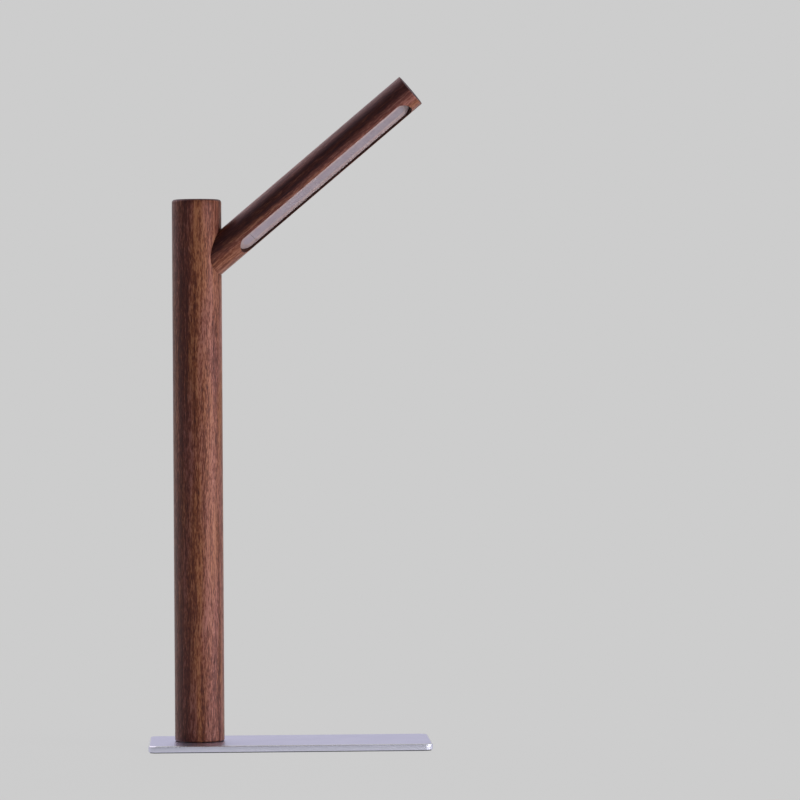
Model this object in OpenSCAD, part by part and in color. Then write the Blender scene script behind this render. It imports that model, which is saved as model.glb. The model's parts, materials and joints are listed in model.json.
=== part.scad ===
// Desk lamp: a turned walnut post on a thin aluminium plate, with a walnut
// arm that plugs into an angled socket and carries a recessed strip of light.
// Millimetres. Origin at the centre of the underside, X along the plate, Z up.

/* [Base plate] */
// Length of the plate
plate_length = 182; // [150:1:260]
// Depth of the plate from front to back
plate_width = 76; // [60:1:120]
// Thickness of the plate
plate_thickness = 4; // [3.5:0.5:8]
// Radius of the upright corners
plate_corner_radius = 5.5; // [2:0.5:10]
// Bevel along the top and bottom edges
plate_edge_bevel = 0.4; // [0.2:0.1:0.8]
// Thickness of the soft pad under the plate
pad_thickness = 0.6; // [0.4:0.1:2]
// How far the pad stays inside the plate's outline
pad_inset = 1; // [0.6:0.1:1.8]

/* [Post] */
// Diameter of the post
post_diameter = 32; // [30:0.5:44]
// Height of the post above the plate
post_height = 350; // [250:5:450]
// Distance from the plate's end to the axis of the post
post_setback = 32.7; // [24:0.1:60]
// Heading of the arm about the post, against the plate's length
post_turn = -9; // [-40:1:40]
// Rounding of the rim at the top of the post
post_top_fillet = 2; // [0.5:0.1:4]
// Rounding of the rim at the foot of the post
post_foot_fillet = 1.2; // [0.3:0.1:3]
// Diameter of the drilled way for the wires
wire_way_diameter = 7; // [6:0.5:8]

/* [Post fixing] */
// Thread diameter of the bolt that holds the post
bolt_diameter = 6; // [5:0.5:8]
// Diameter of the bolt's countersunk head
bolt_head_diameter = 11.2; // [10.5:0.1:14]
// Length of the bolt with its head
bolt_length = 15; // [12:0.5:20]
// Width of the hexagon socket in the bolt head, across the flats
bolt_key = 4; // [3:0.5:5]
// Depth of the hexagon socket in the bolt head
bolt_key_depth = 2; // [1:0.1:2.5]
// Outer diameter of the threaded insert
insert_diameter = 9.5; // [9.2:0.1:12]
// Length of the threaded insert
insert_length = 12; // [8:0.5:16]

/* [Socket] */
// Rise of the arm above the level
arm_elevation = 39.7; // [30:0.1:50]
// Distance from the top of the post down to where the two axes cross
socket_drop = 47.1; // [40:0.1:80]
// Distance from that crossing back to the face of the contact plate
socket_depth = 3.5; // [2:0.1:4]
// Clearance round the arm in its socket
socket_clearance = 0.3; // [0.2:0.05:0.6]
// Gap between the end of the arm and the contact plate
end_gap = 0.3; // [0.2:0.05:0.6]
// Thickness of the contact plate
contact_plate_thickness = 1.5; // [1.2:0.1:2.5]
// Shank diameter of the screws in the contact plate
contact_screw_diameter = 2; // [1.5:0.1:2.2]
// Head diameter of the screws in the contact plate
contact_screw_head = 4; // [3.2:0.1:4.2]
// Length of the screws in the contact plate
contact_screw_length = 8; // [5:0.5:9]

/* [Power connector] */
// Bore that takes the barrel of the plug
jack_bore = 5.9; // [5.8:0.05:6.2]
// Diameter of the centre pin
jack_pin_diameter = 2.1; // [1.9:0.05:2.2]
// Diameter of the front flange
jack_flange_diameter = 9.5; // [9:0.1:10.5]
// Height of the front flange
jack_flange_height = 1.5; // [1.2:0.1:2]
// Diameter of the threaded barrel
jack_barrel_diameter = 8; // [7.8:0.1:8.6]
// Length of the threaded barrel behind the flange
jack_barrel_length = 6.5; // [5.5:0.1:7]
// Wall of the insulating cup
jack_cup_wall = 0.45; // [0.35:0.05:0.5]
// Floor of the insulating cup
jack_cup_floor = 1; // [0.8:0.1:1.2]
// Length of the solder lugs
lug_length = 1.7; // [1.2:0.1:1.8]
// Width of the nut behind the contact plate, across the flats
jack_nut_flats = 10; // [9.4:0.1:10.4]
// Thickness of the nut behind the contact plate
jack_nut_thickness = 2; // [1.5:0.1:2.2]
// Height of the power inlet above the plate
inlet_height = 24; // [22:1:60]
// Angle round the post from the arm's heading to the power inlet
inlet_angle = 99; // [80:1:280]

/* [Plug and magnet] */
// Outer diameter of the plug barrel
plug_diameter = 5.5; // [5.3:0.05:5.6]
// Bore of the plug's centre contact
plug_bore = 2.5; // [2.45:0.05:2.7]
// Wall of the plug barrel
plug_wall = 0.45; // [0.35:0.05:0.5]
// Wall of the insulation inside the plug barrel
plug_insulation = 0.55; // [0.4:0.05:0.6]
// Gap left between the tip of the plug and the floor of the jack
plug_tip_gap = 0.5; // [0.3:0.05:0.8]
// Length of the brass plug holder
holder_length = 17; // [14:0.5:20]
// Neck diameter of the plug holder
holder_neck = 12.4; // [12:0.1:13]
// Front diameter of the plug holder's flared head
holder_head = 16; // [15:0.1:16.4]
// Thickness of the ring magnet
magnet_thickness = 3; // [2.5:0.1:4]
// Wall of the arm outside the ring magnet
magnet_wall = 1.5; // [1.2:0.1:1.7]
// Running clearance round the ring magnet
magnet_clearance = 0.2; // [0.15:0.05:0.3]

/* [Arm] */
// Diameter of the arm
arm_diameter = 22.5; // [22:0.1:26]
// Length of the arm
arm_length = 184.8; // [140:0.1:260]
// Turn of the light towards the front, from straight below the arm
arm_roll = 31; // [-60:1:60]
// Bevel round the ends of the arm
arm_end_bevel = 0.4; // [0.2:0.1:1]
// Diameter of the wire way inside the arm
arm_wire_way = 6; // [6:0.1:7]

/* [Light] */
// Width of the slot for the light
slot_width = 13.4; // [12:0.1:14]
// Distance from the inner end of the arm to the slot
slot_inner_margin = 35.2; // [30:0.1:60]
// Distance from the slot to the outer end of the arm
slot_outer_margin = 7; // [4:0.1:20]
// Depth of the slot's floor beyond the axis of the arm
slot_floor = 1.2; // [0.8:0.1:3]
// Distance from the axis of the arm to the face of the diffuser
diffuser_level = 7.5; // [6.5:0.1:8.2]
// Thickness of the diffuser
diffuser_thickness = 2; // [1.5:0.1:2.5]
// Bevel round the face of the diffuser and of the touch key
diffuser_bevel = 0.5; // [0.2:0.1:0.8]
// Side clearance of the diffuser and of the channel in the slot
slot_clearance = 0.1; // [0.05:0.05:0.2]
// Length of the touch key at the inner end of the slot
key_length = 11; // [9:0.5:20]
// Seam between the touch key and the diffuser
key_seam = 0.25; // [0.15:0.05:0.5]
// Side walls of the aluminium channel
channel_wall = 0.9; // [0.7:0.1:1.2]
// Floor of the aluminium channel
channel_floor = 1.2; // [1:0.1:1.5]
// Number of screws that hold the channel
channel_screw_count = 3; // [2:1:5]
// Shank diameter of the channel screws
channel_screw_diameter = 2; // [1.6:0.1:2.4]
// Length of the channel screws
channel_screw_length = 8; // [5:0.5:9]
// Thickness of the light board
board_thickness = 1; // [0.8:0.1:1.2]
// Number of light-emitting diodes
led_count = 20; // [8:1:22]

/* [Hidden] */
$fn = 72;

// Overshoot of every cut past the face that it opens
over = 1;
// Clearance of a fixed piece in its seat
seat = 0.05;
// Play of a bolt or of a flange in its hole
hole_play = 0.2;
// Cross recess of the small screws
recess_width = 0.5;
recess_depth = 0.5;
recess_share = 0.6;

// Heights and places of the stand
plate_top = pad_thickness + plate_thickness;
post_x = post_setback - plate_length / 2;
post_radius = post_diameter / 2;
wire_way_radius = wire_way_diameter / 2;
crossing_height = plate_top + post_height - socket_drop;
bolt_radius = bolt_diameter / 2;
bolt_head_radius = bolt_head_diameter / 2;
bolt_hole_radius = bolt_radius + hole_play;
bolt_sink_radius = bolt_head_radius + hole_play;
insert_radius = insert_diameter / 2;

// Places along the arm, measured from the crossing of the axes
arm_radius = arm_diameter / 2;
socket_radius = arm_radius + socket_clearance;
contact_face = -socket_depth;
contact_back = contact_face - contact_plate_thickness;
arm_start = contact_face + end_gap;
arm_end = arm_start + arm_length;
slot_start = arm_start + slot_inner_margin;
slot_end = arm_end - slot_outer_margin;

// Power connector, measured outwards from the seat of its flange
jack_barrel_radius = jack_barrel_diameter / 2;
jack_flange_radius = jack_flange_diameter / 2;
jack_bore_radius = jack_bore / 2;
jack_pin_radius = jack_pin_diameter / 2;
jack_cup_radius = jack_bore_radius + jack_cup_wall;
jack_lip = 0.9;
jack_cup_top = jack_flange_height - jack_lip;
jack_cup_bottom = -jack_barrel_length - jack_cup_floor;
jack_bore_floor = jack_cup_bottom + jack_cup_floor;
jack_pin_sink = 0.2;
jack_pin_top = -jack_pin_sink;
jack_pin_slit = 0.35;
jack_pin_foot = 2;
jack_edge_bevel = 0.3;
jack_back = jack_cup_bottom - lug_length;
jack_mouth_bevel = 0.5;
lug_width = 1.6;
lug_thickness = 0.4;
lug_offset = 2;
jack_nut_radius = jack_nut_flats / 2 / cos(30);
nut_play = 0.4;
nut_pocket_radius = jack_nut_radius + nut_play;
lug_play = 0.5;
nut_pocket_end = contact_face + jack_back - lug_play;
contact_plate_radius = socket_radius - seat;
contact_screw_circle = (nut_pocket_radius + contact_plate_radius) / 2;
contact_screw_radius = contact_screw_diameter / 2;
contact_screw_head_radius = contact_screw_head / 2;

// Power inlet on the post, measured from the axis of the post
inlet_sink = 0.1;
inlet_seat = post_radius - jack_flange_height - inlet_sink;
inlet_z = plate_top + inlet_height;

// Plug, its holder and the ring magnet
plug_radius = plug_diameter / 2;
plug_tip = contact_face + jack_bore_floor + plug_tip_gap;
plug_inner_radius = plug_radius - plug_wall;
plug_contact_radius = plug_inner_radius - plug_insulation;
holder_radius = holder_neck / 2;
holder_head_radius = holder_head / 2;
holder_sink = 0.1;
holder_front = arm_start + holder_sink;
holder_end = holder_front + holder_length;
holder_flare = holder_head_radius - holder_radius;
flange_play = 0.4;
flange_recess_radius = jack_flange_radius + flange_play;
flange_gap = 0.6;
flange_recess_floor = contact_face + jack_flange_height + flange_gap;
holder_web = 6;
holder_cavity_start = flange_recess_floor + holder_web;
holder_wall = 1.5;
plug_step = 1;
plug_barrel_end = holder_cavity_start + plug_step;
plug_insulator_end = plug_barrel_end + plug_step;
plug_contact_end = plug_insulator_end + 2 * plug_step;
plug_tip_bevel = 0.25;
insulator_sink = 0.2;
contact_sink = 0.4;
contact_bore_spare = 1;
magnet_end = arm_start + magnet_thickness;
magnet_pocket_radius = arm_radius - magnet_wall;
magnet_pocket_end = magnet_end + magnet_clearance;
magnet_radius = magnet_pocket_radius - magnet_clearance;
magnet_bore_radius = holder_radius + magnet_clearance + holder_sink;
magnet_countersink = holder_head_radius + magnet_clearance + holder_sink;

// Light, measured from the axis of the arm towards the slot
channel_width = slot_width - 2 * slot_clearance;
channel_start = slot_start + slot_clearance;
channel_end = slot_end - slot_clearance;
channel_bottom = -slot_floor;
channel_deck = channel_bottom + channel_floor;
channel_rim = diffuser_level - diffuser_thickness;
cavity_width = channel_width - 2 * channel_wall;
cavity_start = channel_start + channel_wall;
cavity_end = channel_end - channel_wall;
board_margin = 0.6;
board_top = channel_deck + board_thickness;
key_edge = channel_start + key_length;
arm_wire_radius = 0.6;
post_wire_radius = 0.65;
wire_notch_radius = 1.5;
wire_notch_level = board_top + wire_notch_radius;
channel_screw_radius = channel_screw_diameter / 2;
channel_screw_flare = 0.8;
channel_screw_head_radius = channel_screw_radius + channel_screw_flare;
channel_screw_inner_margin = 2.5;
channel_screw_outer_margin = 8;
channel_screw_first = key_edge + channel_screw_inner_margin;
channel_screw_last = cavity_end - channel_screw_outer_margin;
led_length = 3.5;
led_width = 2.8;
led_height = 0.8;
led_dish_radius = 1.1;
led_dish_depth = 0.3;
led_margin = 5;
led_first = key_edge + led_margin;
led_last = cavity_end - led_margin;
spring_radius = 2;
spring_margin = 2.2;
spring_place = key_edge - spring_radius - spring_margin;
spring_wire = 0.25;
spring_turns = 4;
spring_steps = 10;

// Bends of the two wires in the post
wire_spread = 1.1;
wire_run = wire_way_radius / 2;
wire_lift = 1.8;
wire_lean = 0.15;
wire_turn = 2;
wire_wall_gap = 0.9;
wire_corner_gap = 1.6;
wire_corner_rise = 0.45;

// Bends of the two wires in the arm
lead_spread = 1.2;
lead_gap = 0.7;
lead_drop = 0.5;
lead_pad = 2.8;

// Colours
walnut = [0.36, 0.21, 0.14];
satin_aluminium = [0.74, 0.74, 0.78];
polished_steel = [0.70, 0.69, 0.70];
nickel = [0.78, 0.77, 0.75];
brass = [0.78, 0.62, 0.32];
black_plastic = [0.06, 0.06, 0.06];
opal = [0.80, 0.77, 0.80];
board_white = [0.92, 0.92, 0.90];
pad_black = [0.09, 0.09, 0.09];
wire_brown = [0.25, 0.12, 0.07];

// Frame of the post: X points along the arm's heading
module on_post() {
    translate([post_x, 0, 0]) rotate([0, 0, post_turn]) children();
}

// Frame of the socket: Z points out along the arm, X points below it
module on_arm_axis() {
    translate([0, 0, crossing_height]) rotate([0, 90 - arm_elevation, 0]) children();
}

// Frame of the arm: as the socket's, with X turned to face out of the slot
module on_arm() {
    on_post() on_arm_axis() rotate([0, 0, -arm_roll]) children();
}

// Frame of the power inlet: Z points out of the post, from the flange's seat
module on_inlet() {
    rotate([0, 0, inlet_angle]) translate([inlet_seat, 0, inlet_z]) rotate([0, 90, 0]) children();
}

// Round bar with a bevel at both ends
module bevelled_bar(radius, from, to, bevel) {
    rotate_extrude() polygon([[0, from], [radius - bevel, from], [radius, from + bevel],
        [radius, to - bevel], [radius - bevel, to], [0, to]]);
}

// Countersunk cone and shank along -Z, with its head flush at z = 0
module countersunk(head, shank, length) {
    rotate_extrude() polygon([[0, 0], [head, 0], [shank, shank - head], [shank, -length], [0, -length]]);
}

// Two crossed slots, cut down from z = 0
module cross_slots(reach, width, depth) {
    for (turn = [0, 90])
        rotate([0, 0, turn]) translate([-reach, -width / 2, -depth]) cube([2 * reach, width, depth + over]);
}

// Cross recess in a screw head at z = 0
module cross_recess(head) {
    cross_slots(recess_share * head, recess_width, recess_depth);
}

// Slab with round upright corners and bevelled edges
module bevelled_slab(length, width, height, corner, bevel) {
    half_length = length / 2;
    half_width = width / 2;
    translate([corner - half_length, 0, 0]) rotate([90, 0, 90])
        linear_extrude(length - 2 * corner) bevelled_section(half_width, height, bevel);
    translate([0, half_width - corner, 0]) rotate([90, 0, 0])
        linear_extrude(width - 2 * corner) bevelled_section(half_length, height, bevel);
    for (x = [corner - half_length, half_length - corner], y = [corner - half_width, half_width - corner])
        translate([x, y, 0]) bevelled_bar(corner, 0, height, bevel);
}

module bevelled_section(half, height, bevel) {
    polygon([[bevel - half, 0], [half - bevel, 0], [half, bevel], [half, height - bevel],
        [half - bevel, height], [bevel - half, height], [-half, height - bevel], [-half, bevel]]);
}

// Outline with round ends, drawn with its length along -X to suit arm_slab
module round_ended(from, to, width) {
    end = width / 2;
    translate([-to + end, -end]) square([to - from - width, width]);
    translate([-to + end, 0]) circle(end);
    translate([-from - end, 0]) circle(end);
}

// Round-ended slab that lies along the arm between two distances from its axis
module arm_slab(bottom, top, from, to, width) {
    translate([bottom, 0, 0]) rotate([0, 90, 0]) linear_extrude(top - bottom) round_ended(from, to, width);
}

// Points of a round wire swept along a route
function direction(route, i) =
    let (step = route[min(i + 1, len(route) - 1)] - route[max(i - 1, 0)]) step / norm(step);
function across(side, along) = let (v = side - along * (side * along)) v / norm(v);
function sides_along(route, first) = [
    for (i = 0, side = across(first, direction(route, 0)); i < len(route);
        i = i + 1, side = across(side, direction(route, min(i, len(route) - 1)))) side];

module wire(route, radius, first_side, corners = 8) {
    rings = len(route);
    side = sides_along(route, first_side);
    points = [for (i = [0 : rings - 1], k = [0 : corners - 1])
        let (along = direction(route, i), other = cross(along, side[i]), a = 360 * k / corners)
        route[i] + radius * (cos(a) * side[i] + sin(a) * other)];
    walls = [for (i = [0 : rings - 2], k = [0 : corners - 1], half = [0, 1])
        let (a = i * corners + k, b = i * corners + (k + 1) % corners)
        half == 0 ? [a, a + corners, b] : [b, a + corners, b + corners]];
    start_cap = [for (k = [1 : corners - 2]) [0, k, k + 1]];
    last = (rings - 1) * corners;
    end_cap = [for (k = [1 : corners - 2]) [last, last + k + 1, last + k]];
    polyhedron(points, concat(walls, start_cap, end_cap));
}

// Stand

module base_pad() {
    color(pad_black)
    linear_extrude(pad_thickness) {
        corner = plate_corner_radius - pad_inset;
        length = plate_length - 2 * pad_inset;
        width = plate_width - 2 * pad_inset;
        square([length - 2 * corner, width], center = true);
        square([length, width - 2 * corner], center = true);
        for (x = [-1, 1], y = [-1, 1])
            translate([x * (length / 2 - corner), y * (width / 2 - corner)]) circle(corner);
    }
}

module base_plate() {
    color(satin_aluminium)
    difference() {
        translate([0, 0, pad_thickness])
            bevelled_slab(plate_length, plate_width, plate_thickness, plate_corner_radius, plate_edge_bevel);
        translate([post_x, 0, pad_thickness]) mirror([0, 0, 1])
            countersunk(bolt_sink_radius, bolt_hole_radius, plate_thickness + over);
        translate([post_x, 0, pad_thickness - over]) cylinder(over, r = bolt_sink_radius);
    }
}

module post_bolt() {
    color(polished_steel)
    translate([post_x, 0, pad_thickness])
    difference() {
        mirror([0, 0, 1]) countersunk(bolt_head_radius, bolt_radius, bolt_length);
        translate([0, 0, -over]) cylinder(bolt_key_depth + over, d = bolt_key / cos(30), $fn = 6);
    }
}

module post_insert() {
    color(brass)
    translate([post_x, 0, plate_top])
    difference() {
        cylinder(insert_length, r = insert_radius);
        translate([0, 0, -over]) cylinder(insert_length + 2 * over, r = bolt_radius + seat);
    }
}

module post() {
    color(walnut)
    on_post()
    difference() {
        translate([0, 0, plate_top]) turned_post();
        on_arm_axis() socket_cuts();
        translate([0, 0, plate_top]) foot_cuts();
        on_inlet() inlet_cuts();
    }
}

// Plain round post with a rounded rim at the top and at the foot
module turned_post() {
    rotate_extrude() {
        translate([0, post_foot_fillet])
            square([post_radius, post_height - post_foot_fillet - post_top_fillet]);
        square([post_radius - post_foot_fillet, post_height]);
        translate([0, post_height / 2]) square([post_radius - post_top_fillet, post_height / 2]);
        intersection() {
            translate([post_radius - post_foot_fillet, post_foot_fillet]) circle(post_foot_fillet);
            square([post_radius, post_height]);
        }
        intersection() {
            translate([post_radius - post_top_fillet, post_height - post_top_fillet]) circle(post_top_fillet);
            square([post_radius, post_height]);
        }
    }
}

// Socket bore with its flat floor, the pocket behind the jack and two pilot holes
module socket_cuts() {
    translate([0, 0, contact_back]) cylinder(4 * post_radius, r = socket_radius);
    translate([0, 0, nut_pocket_end])
        cylinder(contact_back - nut_pocket_end + over, r = nut_pocket_radius);
    for (side = [-1, 1])
        translate([0, side * contact_screw_circle, contact_face - contact_screw_length - seat])
            cylinder(contact_screw_length, r = contact_screw_radius + seat);
}

// Wire way up the middle of the post, with the seat of the threaded insert
module foot_cuts() {
    pocket_low = contact_back * sin(arm_elevation) - nut_pocket_radius * cos(arm_elevation);
    way_top = post_height - socket_drop + pocket_low;
    translate([0, 0, -over]) cylinder(way_top + over, r = wire_way_radius);
    translate([0, 0, -over]) cylinder(insert_length + over + seat, r = insert_radius + seat);
}

// Flat seat for the inlet's flange and the bore for its barrel
module inlet_cuts() {
    cylinder(post_radius, r = jack_flange_radius + hole_play);
    translate([0, 0, -inlet_seat]) cylinder(inlet_seat + over, r = jack_barrel_radius + seat);
}

module socket_plate() {
    color(polished_steel)
    on_post() on_arm_axis()
    difference() {
        translate([0, 0, contact_back])
            cylinder(contact_plate_thickness, r = contact_plate_radius);
        translate([0, 0, contact_back - over])
            cylinder(contact_plate_thickness + 2 * over, r = jack_barrel_radius + seat);
        for (side = [-1, 1])
            translate([0, side * contact_screw_circle, contact_face])
            countersunk(contact_screw_head_radius + seat, contact_screw_radius + seat, contact_screw_length);
    }
}

module socket_screws() {
    color(polished_steel)
    on_post() on_arm_axis()
    for (side = [-1, 1])
        translate([0, side * contact_screw_circle, contact_face - seat])
        difference() {
            countersunk(contact_screw_head_radius, contact_screw_radius, contact_screw_length - seat);
            cross_recess(contact_screw_head_radius);
        }
}

// Power connector: the same four pieces serve the socket and the inlet

module connector_shell() {
    color(nickel)
    rotate_extrude() polygon([[jack_cup_radius + seat, -jack_barrel_length],
        [jack_barrel_radius, -jack_barrel_length], [jack_barrel_radius, 0], [jack_flange_radius, 0],
        [jack_flange_radius, jack_flange_height - jack_edge_bevel],
        [jack_flange_radius - jack_edge_bevel, jack_flange_height],
        [jack_bore_radius + jack_mouth_bevel, jack_flange_height],
        [jack_bore_radius, jack_flange_height - jack_mouth_bevel], [jack_bore_radius, jack_cup_top + seat],
        [jack_cup_radius + seat, jack_cup_top + seat]]);
}

module connector_cup() {
    color(black_plastic)
    difference() {
        translate([0, 0, jack_cup_bottom])
            cylinder(jack_cup_top - jack_cup_bottom, r = jack_cup_radius);
        translate([0, 0, jack_bore_floor])
            cylinder(jack_cup_top - jack_bore_floor + over, r = jack_bore_radius);
        translate([0, 0, jack_cup_bottom - over])
            cylinder(jack_cup_floor + 2 * over, r = jack_pin_radius + seat);
    }
}

module connector_pin() {
    color(nickel)
    difference() {
        bevelled_bar(jack_pin_radius, jack_cup_bottom, jack_pin_top, jack_edge_bevel);
        translate([0, 0, jack_pin_top])
            cross_slots(2 * jack_pin_radius, jack_pin_slit, jack_pin_top - jack_bore_floor - jack_pin_foot);
    }
}

module connector_lugs() {
    color(nickel)
    for (side = [0, lug_offset])
        translate([-lug_thickness / 2, side - lug_width / 2, jack_back])
        cube([lug_thickness, lug_width, lug_length]);
}

module on_jack() {
    on_post() on_arm_axis() translate([0, 0, contact_face]) children();
}

module jack_shell() { on_jack() connector_shell(); }
module jack_cup() { on_jack() connector_cup(); }
module jack_pin() { on_jack() connector_pin(); }
module jack_lugs() { on_jack() connector_lugs(); }
module inlet_shell() { on_post() on_inlet() connector_shell(); }
module inlet_cup() { on_post() on_inlet() connector_cup(); }
module inlet_pin() { on_post() on_inlet() connector_pin(); }
module inlet_lugs() { on_post() on_inlet() connector_lugs(); }

module jack_nut() {
    color(nickel)
    on_post() on_arm_axis()
    translate([0, 0, contact_back - jack_nut_thickness])
    difference() {
        cylinder(jack_nut_thickness, r = jack_nut_radius, $fn = 6);
        translate([0, 0, -over])
            cylinder(jack_nut_thickness + 2 * over, r = jack_barrel_radius + seat);
    }
}

// Point in the post's frame, from its place along and below the arm's axis
function below_arm(along, below, side) = [
    along * cos(arm_elevation) + below * sin(arm_elevation), side,
    crossing_height + along * sin(arm_elevation) - below * cos(arm_elevation)];

// Point in the post's frame, from its place in the inlet's frame
function behind_inlet(out, up, side) = [
    out * cos(inlet_angle) - side * sin(inlet_angle),
    out * sin(inlet_angle) + side * cos(inlet_angle), inlet_z + up];

module post_wires() {
    lug_middle = contact_face + jack_back + lug_length / 2;
    lug_face = lug_thickness / 2 + post_wire_radius;
    nut_back = contact_back - jack_nut_thickness;
    pocket_foot = crossing_height + nut_pocket_end * sin(arm_elevation) - wire_turn;
    inlet_lug = inlet_seat + jack_back + lug_length / 2;
    color(wire_brown)
    on_post()
    for (way = [0, 1]) {
        level = way * lug_offset;
        spread = way == 0 ? -wire_spread : wire_spread;
        between = (level + spread) / 2;
        route = [
            below_arm(lug_middle, lug_face, level),
            below_arm(lug_middle - wire_lean, lug_face + wire_lift, level),
            below_arm(lug_middle + wire_corner_rise, nut_pocket_radius - wire_corner_gap, between),
            below_arm(nut_back - wire_turn / 2, nut_pocket_radius - wire_wall_gap, spread),
            [-wire_run, spread, pocket_foot - wire_turn],
            [-wire_run, spread, pocket_foot - 3 * wire_turn],
            [-wire_run, spread, inlet_z + 8 * wire_turn],
            behind_inlet(wire_lean, 2.5 * wire_turn, spread),
            behind_inlet(wire_turn, 1.3 * wire_turn, between),
            behind_inlet(inlet_lug - wire_turn, lug_face + wire_corner_rise, level),
            behind_inlet(inlet_lug, lug_face, level)];
        wire(route, post_wire_radius, [0, 1, 0]);
    }
}

// Ring magnet between the stand and the arm

module magnet_ring() {
    flare = magnet_countersink - magnet_bore_radius;
    color(nickel)
    on_post() on_arm_axis()
    rotate_extrude() polygon([[magnet_countersink, arm_start], [magnet_radius, arm_start],
        [magnet_radius, magnet_end], [magnet_bore_radius, magnet_end],
        [magnet_bore_radius, arm_start + flare]]);
}

// Arm

module arm_body() {
    color(walnut)
    on_arm()
    difference() {
        bevelled_bar(arm_radius, arm_start, arm_end, arm_end_bevel);
        translate([0, 0, arm_start - over])
            cylinder(magnet_pocket_end - arm_start + over, r = magnet_pocket_radius);
        translate([0, 0, arm_start])
            cylinder(holder_end - arm_start + seat, r = holder_radius + seat);
        translate([0, 0, holder_end - over])
            cylinder(slot_start + slot_width / 2 - holder_end + over, r = arm_wire_way / 2);
        arm_slab(channel_bottom, arm_radius + over, slot_start, slot_end, slot_width);
        for (place = channel_screw_places())
            translate([channel_deck, 0, place]) rotate([0, 90, 0])
                translate([0, 0, -channel_screw_length - seat])
                cylinder(channel_screw_length, r = channel_screw_radius + seat);
    }
}

module plug_holder() {
    color(brass)
    on_arm()
    difference() {
        rotate_extrude() polygon([[0, holder_front], [holder_head_radius, holder_front],
            [holder_radius, holder_front + holder_flare], [holder_radius, holder_end], [0, holder_end]]);
        translate([0, 0, holder_front - over])
            cylinder(flange_recess_floor - holder_front + over, r = flange_recess_radius);
        translate([0, 0, holder_front]) cylinder(holder_length, r = plug_radius + seat);
        translate([0, 0, holder_cavity_start])
            cylinder(holder_length, r = holder_radius - holder_wall);
    }
}

module plug_barrel() {
    color(nickel)
    on_arm()
    difference() {
        bevelled_bar(plug_radius, plug_tip, plug_barrel_end, plug_tip_bevel);
        translate([0, 0, plug_tip - over])
            cylinder(plug_barrel_end - plug_tip + 2 * over, r = plug_inner_radius);
    }
}

module plug_insulator() {
    color(black_plastic)
    on_arm()
    difference() {
        translate([0, 0, plug_tip + insulator_sink])
            cylinder(plug_insulator_end - plug_tip - insulator_sink, r = plug_inner_radius - seat);
        translate([0, 0, plug_tip - over])
            cylinder(plug_insulator_end - plug_tip + 2 * over, r = plug_contact_radius + seat);
    }
}

module plug_contact() {
    bore_end = contact_face + jack_pin_top + contact_bore_spare;
    color(nickel)
    on_arm()
    difference() {
        translate([0, 0, plug_tip + contact_sink])
            cylinder(plug_contact_end - plug_tip - contact_sink, r = plug_contact_radius);
        translate([0, 0, plug_tip - over]) cylinder(bore_end - plug_tip + over, r = plug_bore / 2);
    }
}

module arm_wires() {
    color(wire_brown)
    on_arm()
    for (side = [-1, 1]) {
        start = side < 0 ? plug_contact_end - plug_step : plug_barrel_end - arm_wire_radius;
        reach = side < 0 ? plug_contact_radius + arm_wire_radius : plug_radius + arm_wire_radius;
        route = [
            [0, side * reach, start],
            [0, side * reach, plug_contact_end + plug_step],
            [lead_drop, side * lead_spread, holder_end + lead_pad],
            [wire_notch_level - lead_drop - wire_lean, side * lead_gap, slot_start - lead_pad],
            [wire_notch_level - lead_drop, side * lead_gap, slot_start + lead_drop],
            [wire_notch_level - lead_drop, side * lead_gap, cavity_start + plug_step],
            [board_top + arm_wire_radius, side * (lead_gap + wire_lean), cavity_start + lead_pad]];
        wire(route, arm_wire_radius, [1, 0, 0]);
    }
}

// Light

// Places spread evenly along the arm
function spread_places(first, last, count) =
    [for (i = [0 : count - 1]) first + (last - first) * i / (count - 1)];
function channel_screw_places() = spread_places(channel_screw_first, channel_screw_last, channel_screw_count);

module led_channel() {
    color(satin_aluminium)
    on_arm()
    difference() {
        arm_slab(channel_bottom, channel_rim, channel_start, channel_end, channel_width);
        arm_slab(channel_deck, channel_rim + over, cavity_start, cavity_end, cavity_width);
        translate([wire_notch_level, 0, channel_start - over])
            cylinder(channel_wall + 3 * over, r = wire_notch_radius);
        for (place = channel_screw_places())
            translate([channel_deck, 0, place]) rotate([0, 90, 0])
            countersunk(channel_screw_head_radius + seat, channel_screw_radius + seat, channel_screw_length);
    }
}

module channel_screws() {
    color(polished_steel)
    on_arm()
    for (place = channel_screw_places())
        translate([channel_deck - seat, 0, place]) rotate([0, 90, 0])
        difference() {
            countersunk(channel_screw_head_radius, channel_screw_radius, channel_screw_length - seat);
            cross_recess(channel_screw_head_radius);
        }
}

module led_board() {
    color(board_white)
    on_arm()
    arm_slab(channel_deck, board_top, cavity_start + board_margin, cavity_end - board_margin,
        cavity_width - 2 * board_margin);
}

module leds() {
    color(opal)
    on_arm()
    for (place = spread_places(led_first, led_last, led_count))
        translate([board_top, 0, place])
        difference() {
            translate([0, -led_width / 2, -led_length / 2]) cube([led_height, led_width, led_length]);
            translate([led_height - led_dish_depth, 0, 0]) rotate([0, 90, 0])
                cylinder(led_dish_depth + over, r = led_dish_radius);
        }
}

// Sensing spring that stands on the board and bears on the back of the touch key
module touch_spring() {
    low = board_top + spring_wire;
    rise = channel_rim - board_top - 2 * spring_wire;
    steps = spring_turns * spring_steps;
    color(polished_steel)
    on_arm()
    translate([0, 0, spring_place])
    wire([for (i = [0 : steps])
        let (turn = 360 * i / spring_steps)
        [low + rise * i / steps, spring_radius * cos(turn), spring_radius * sin(turn)]],
        spring_wire, [1, 0, 0], 6);
}

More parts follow.
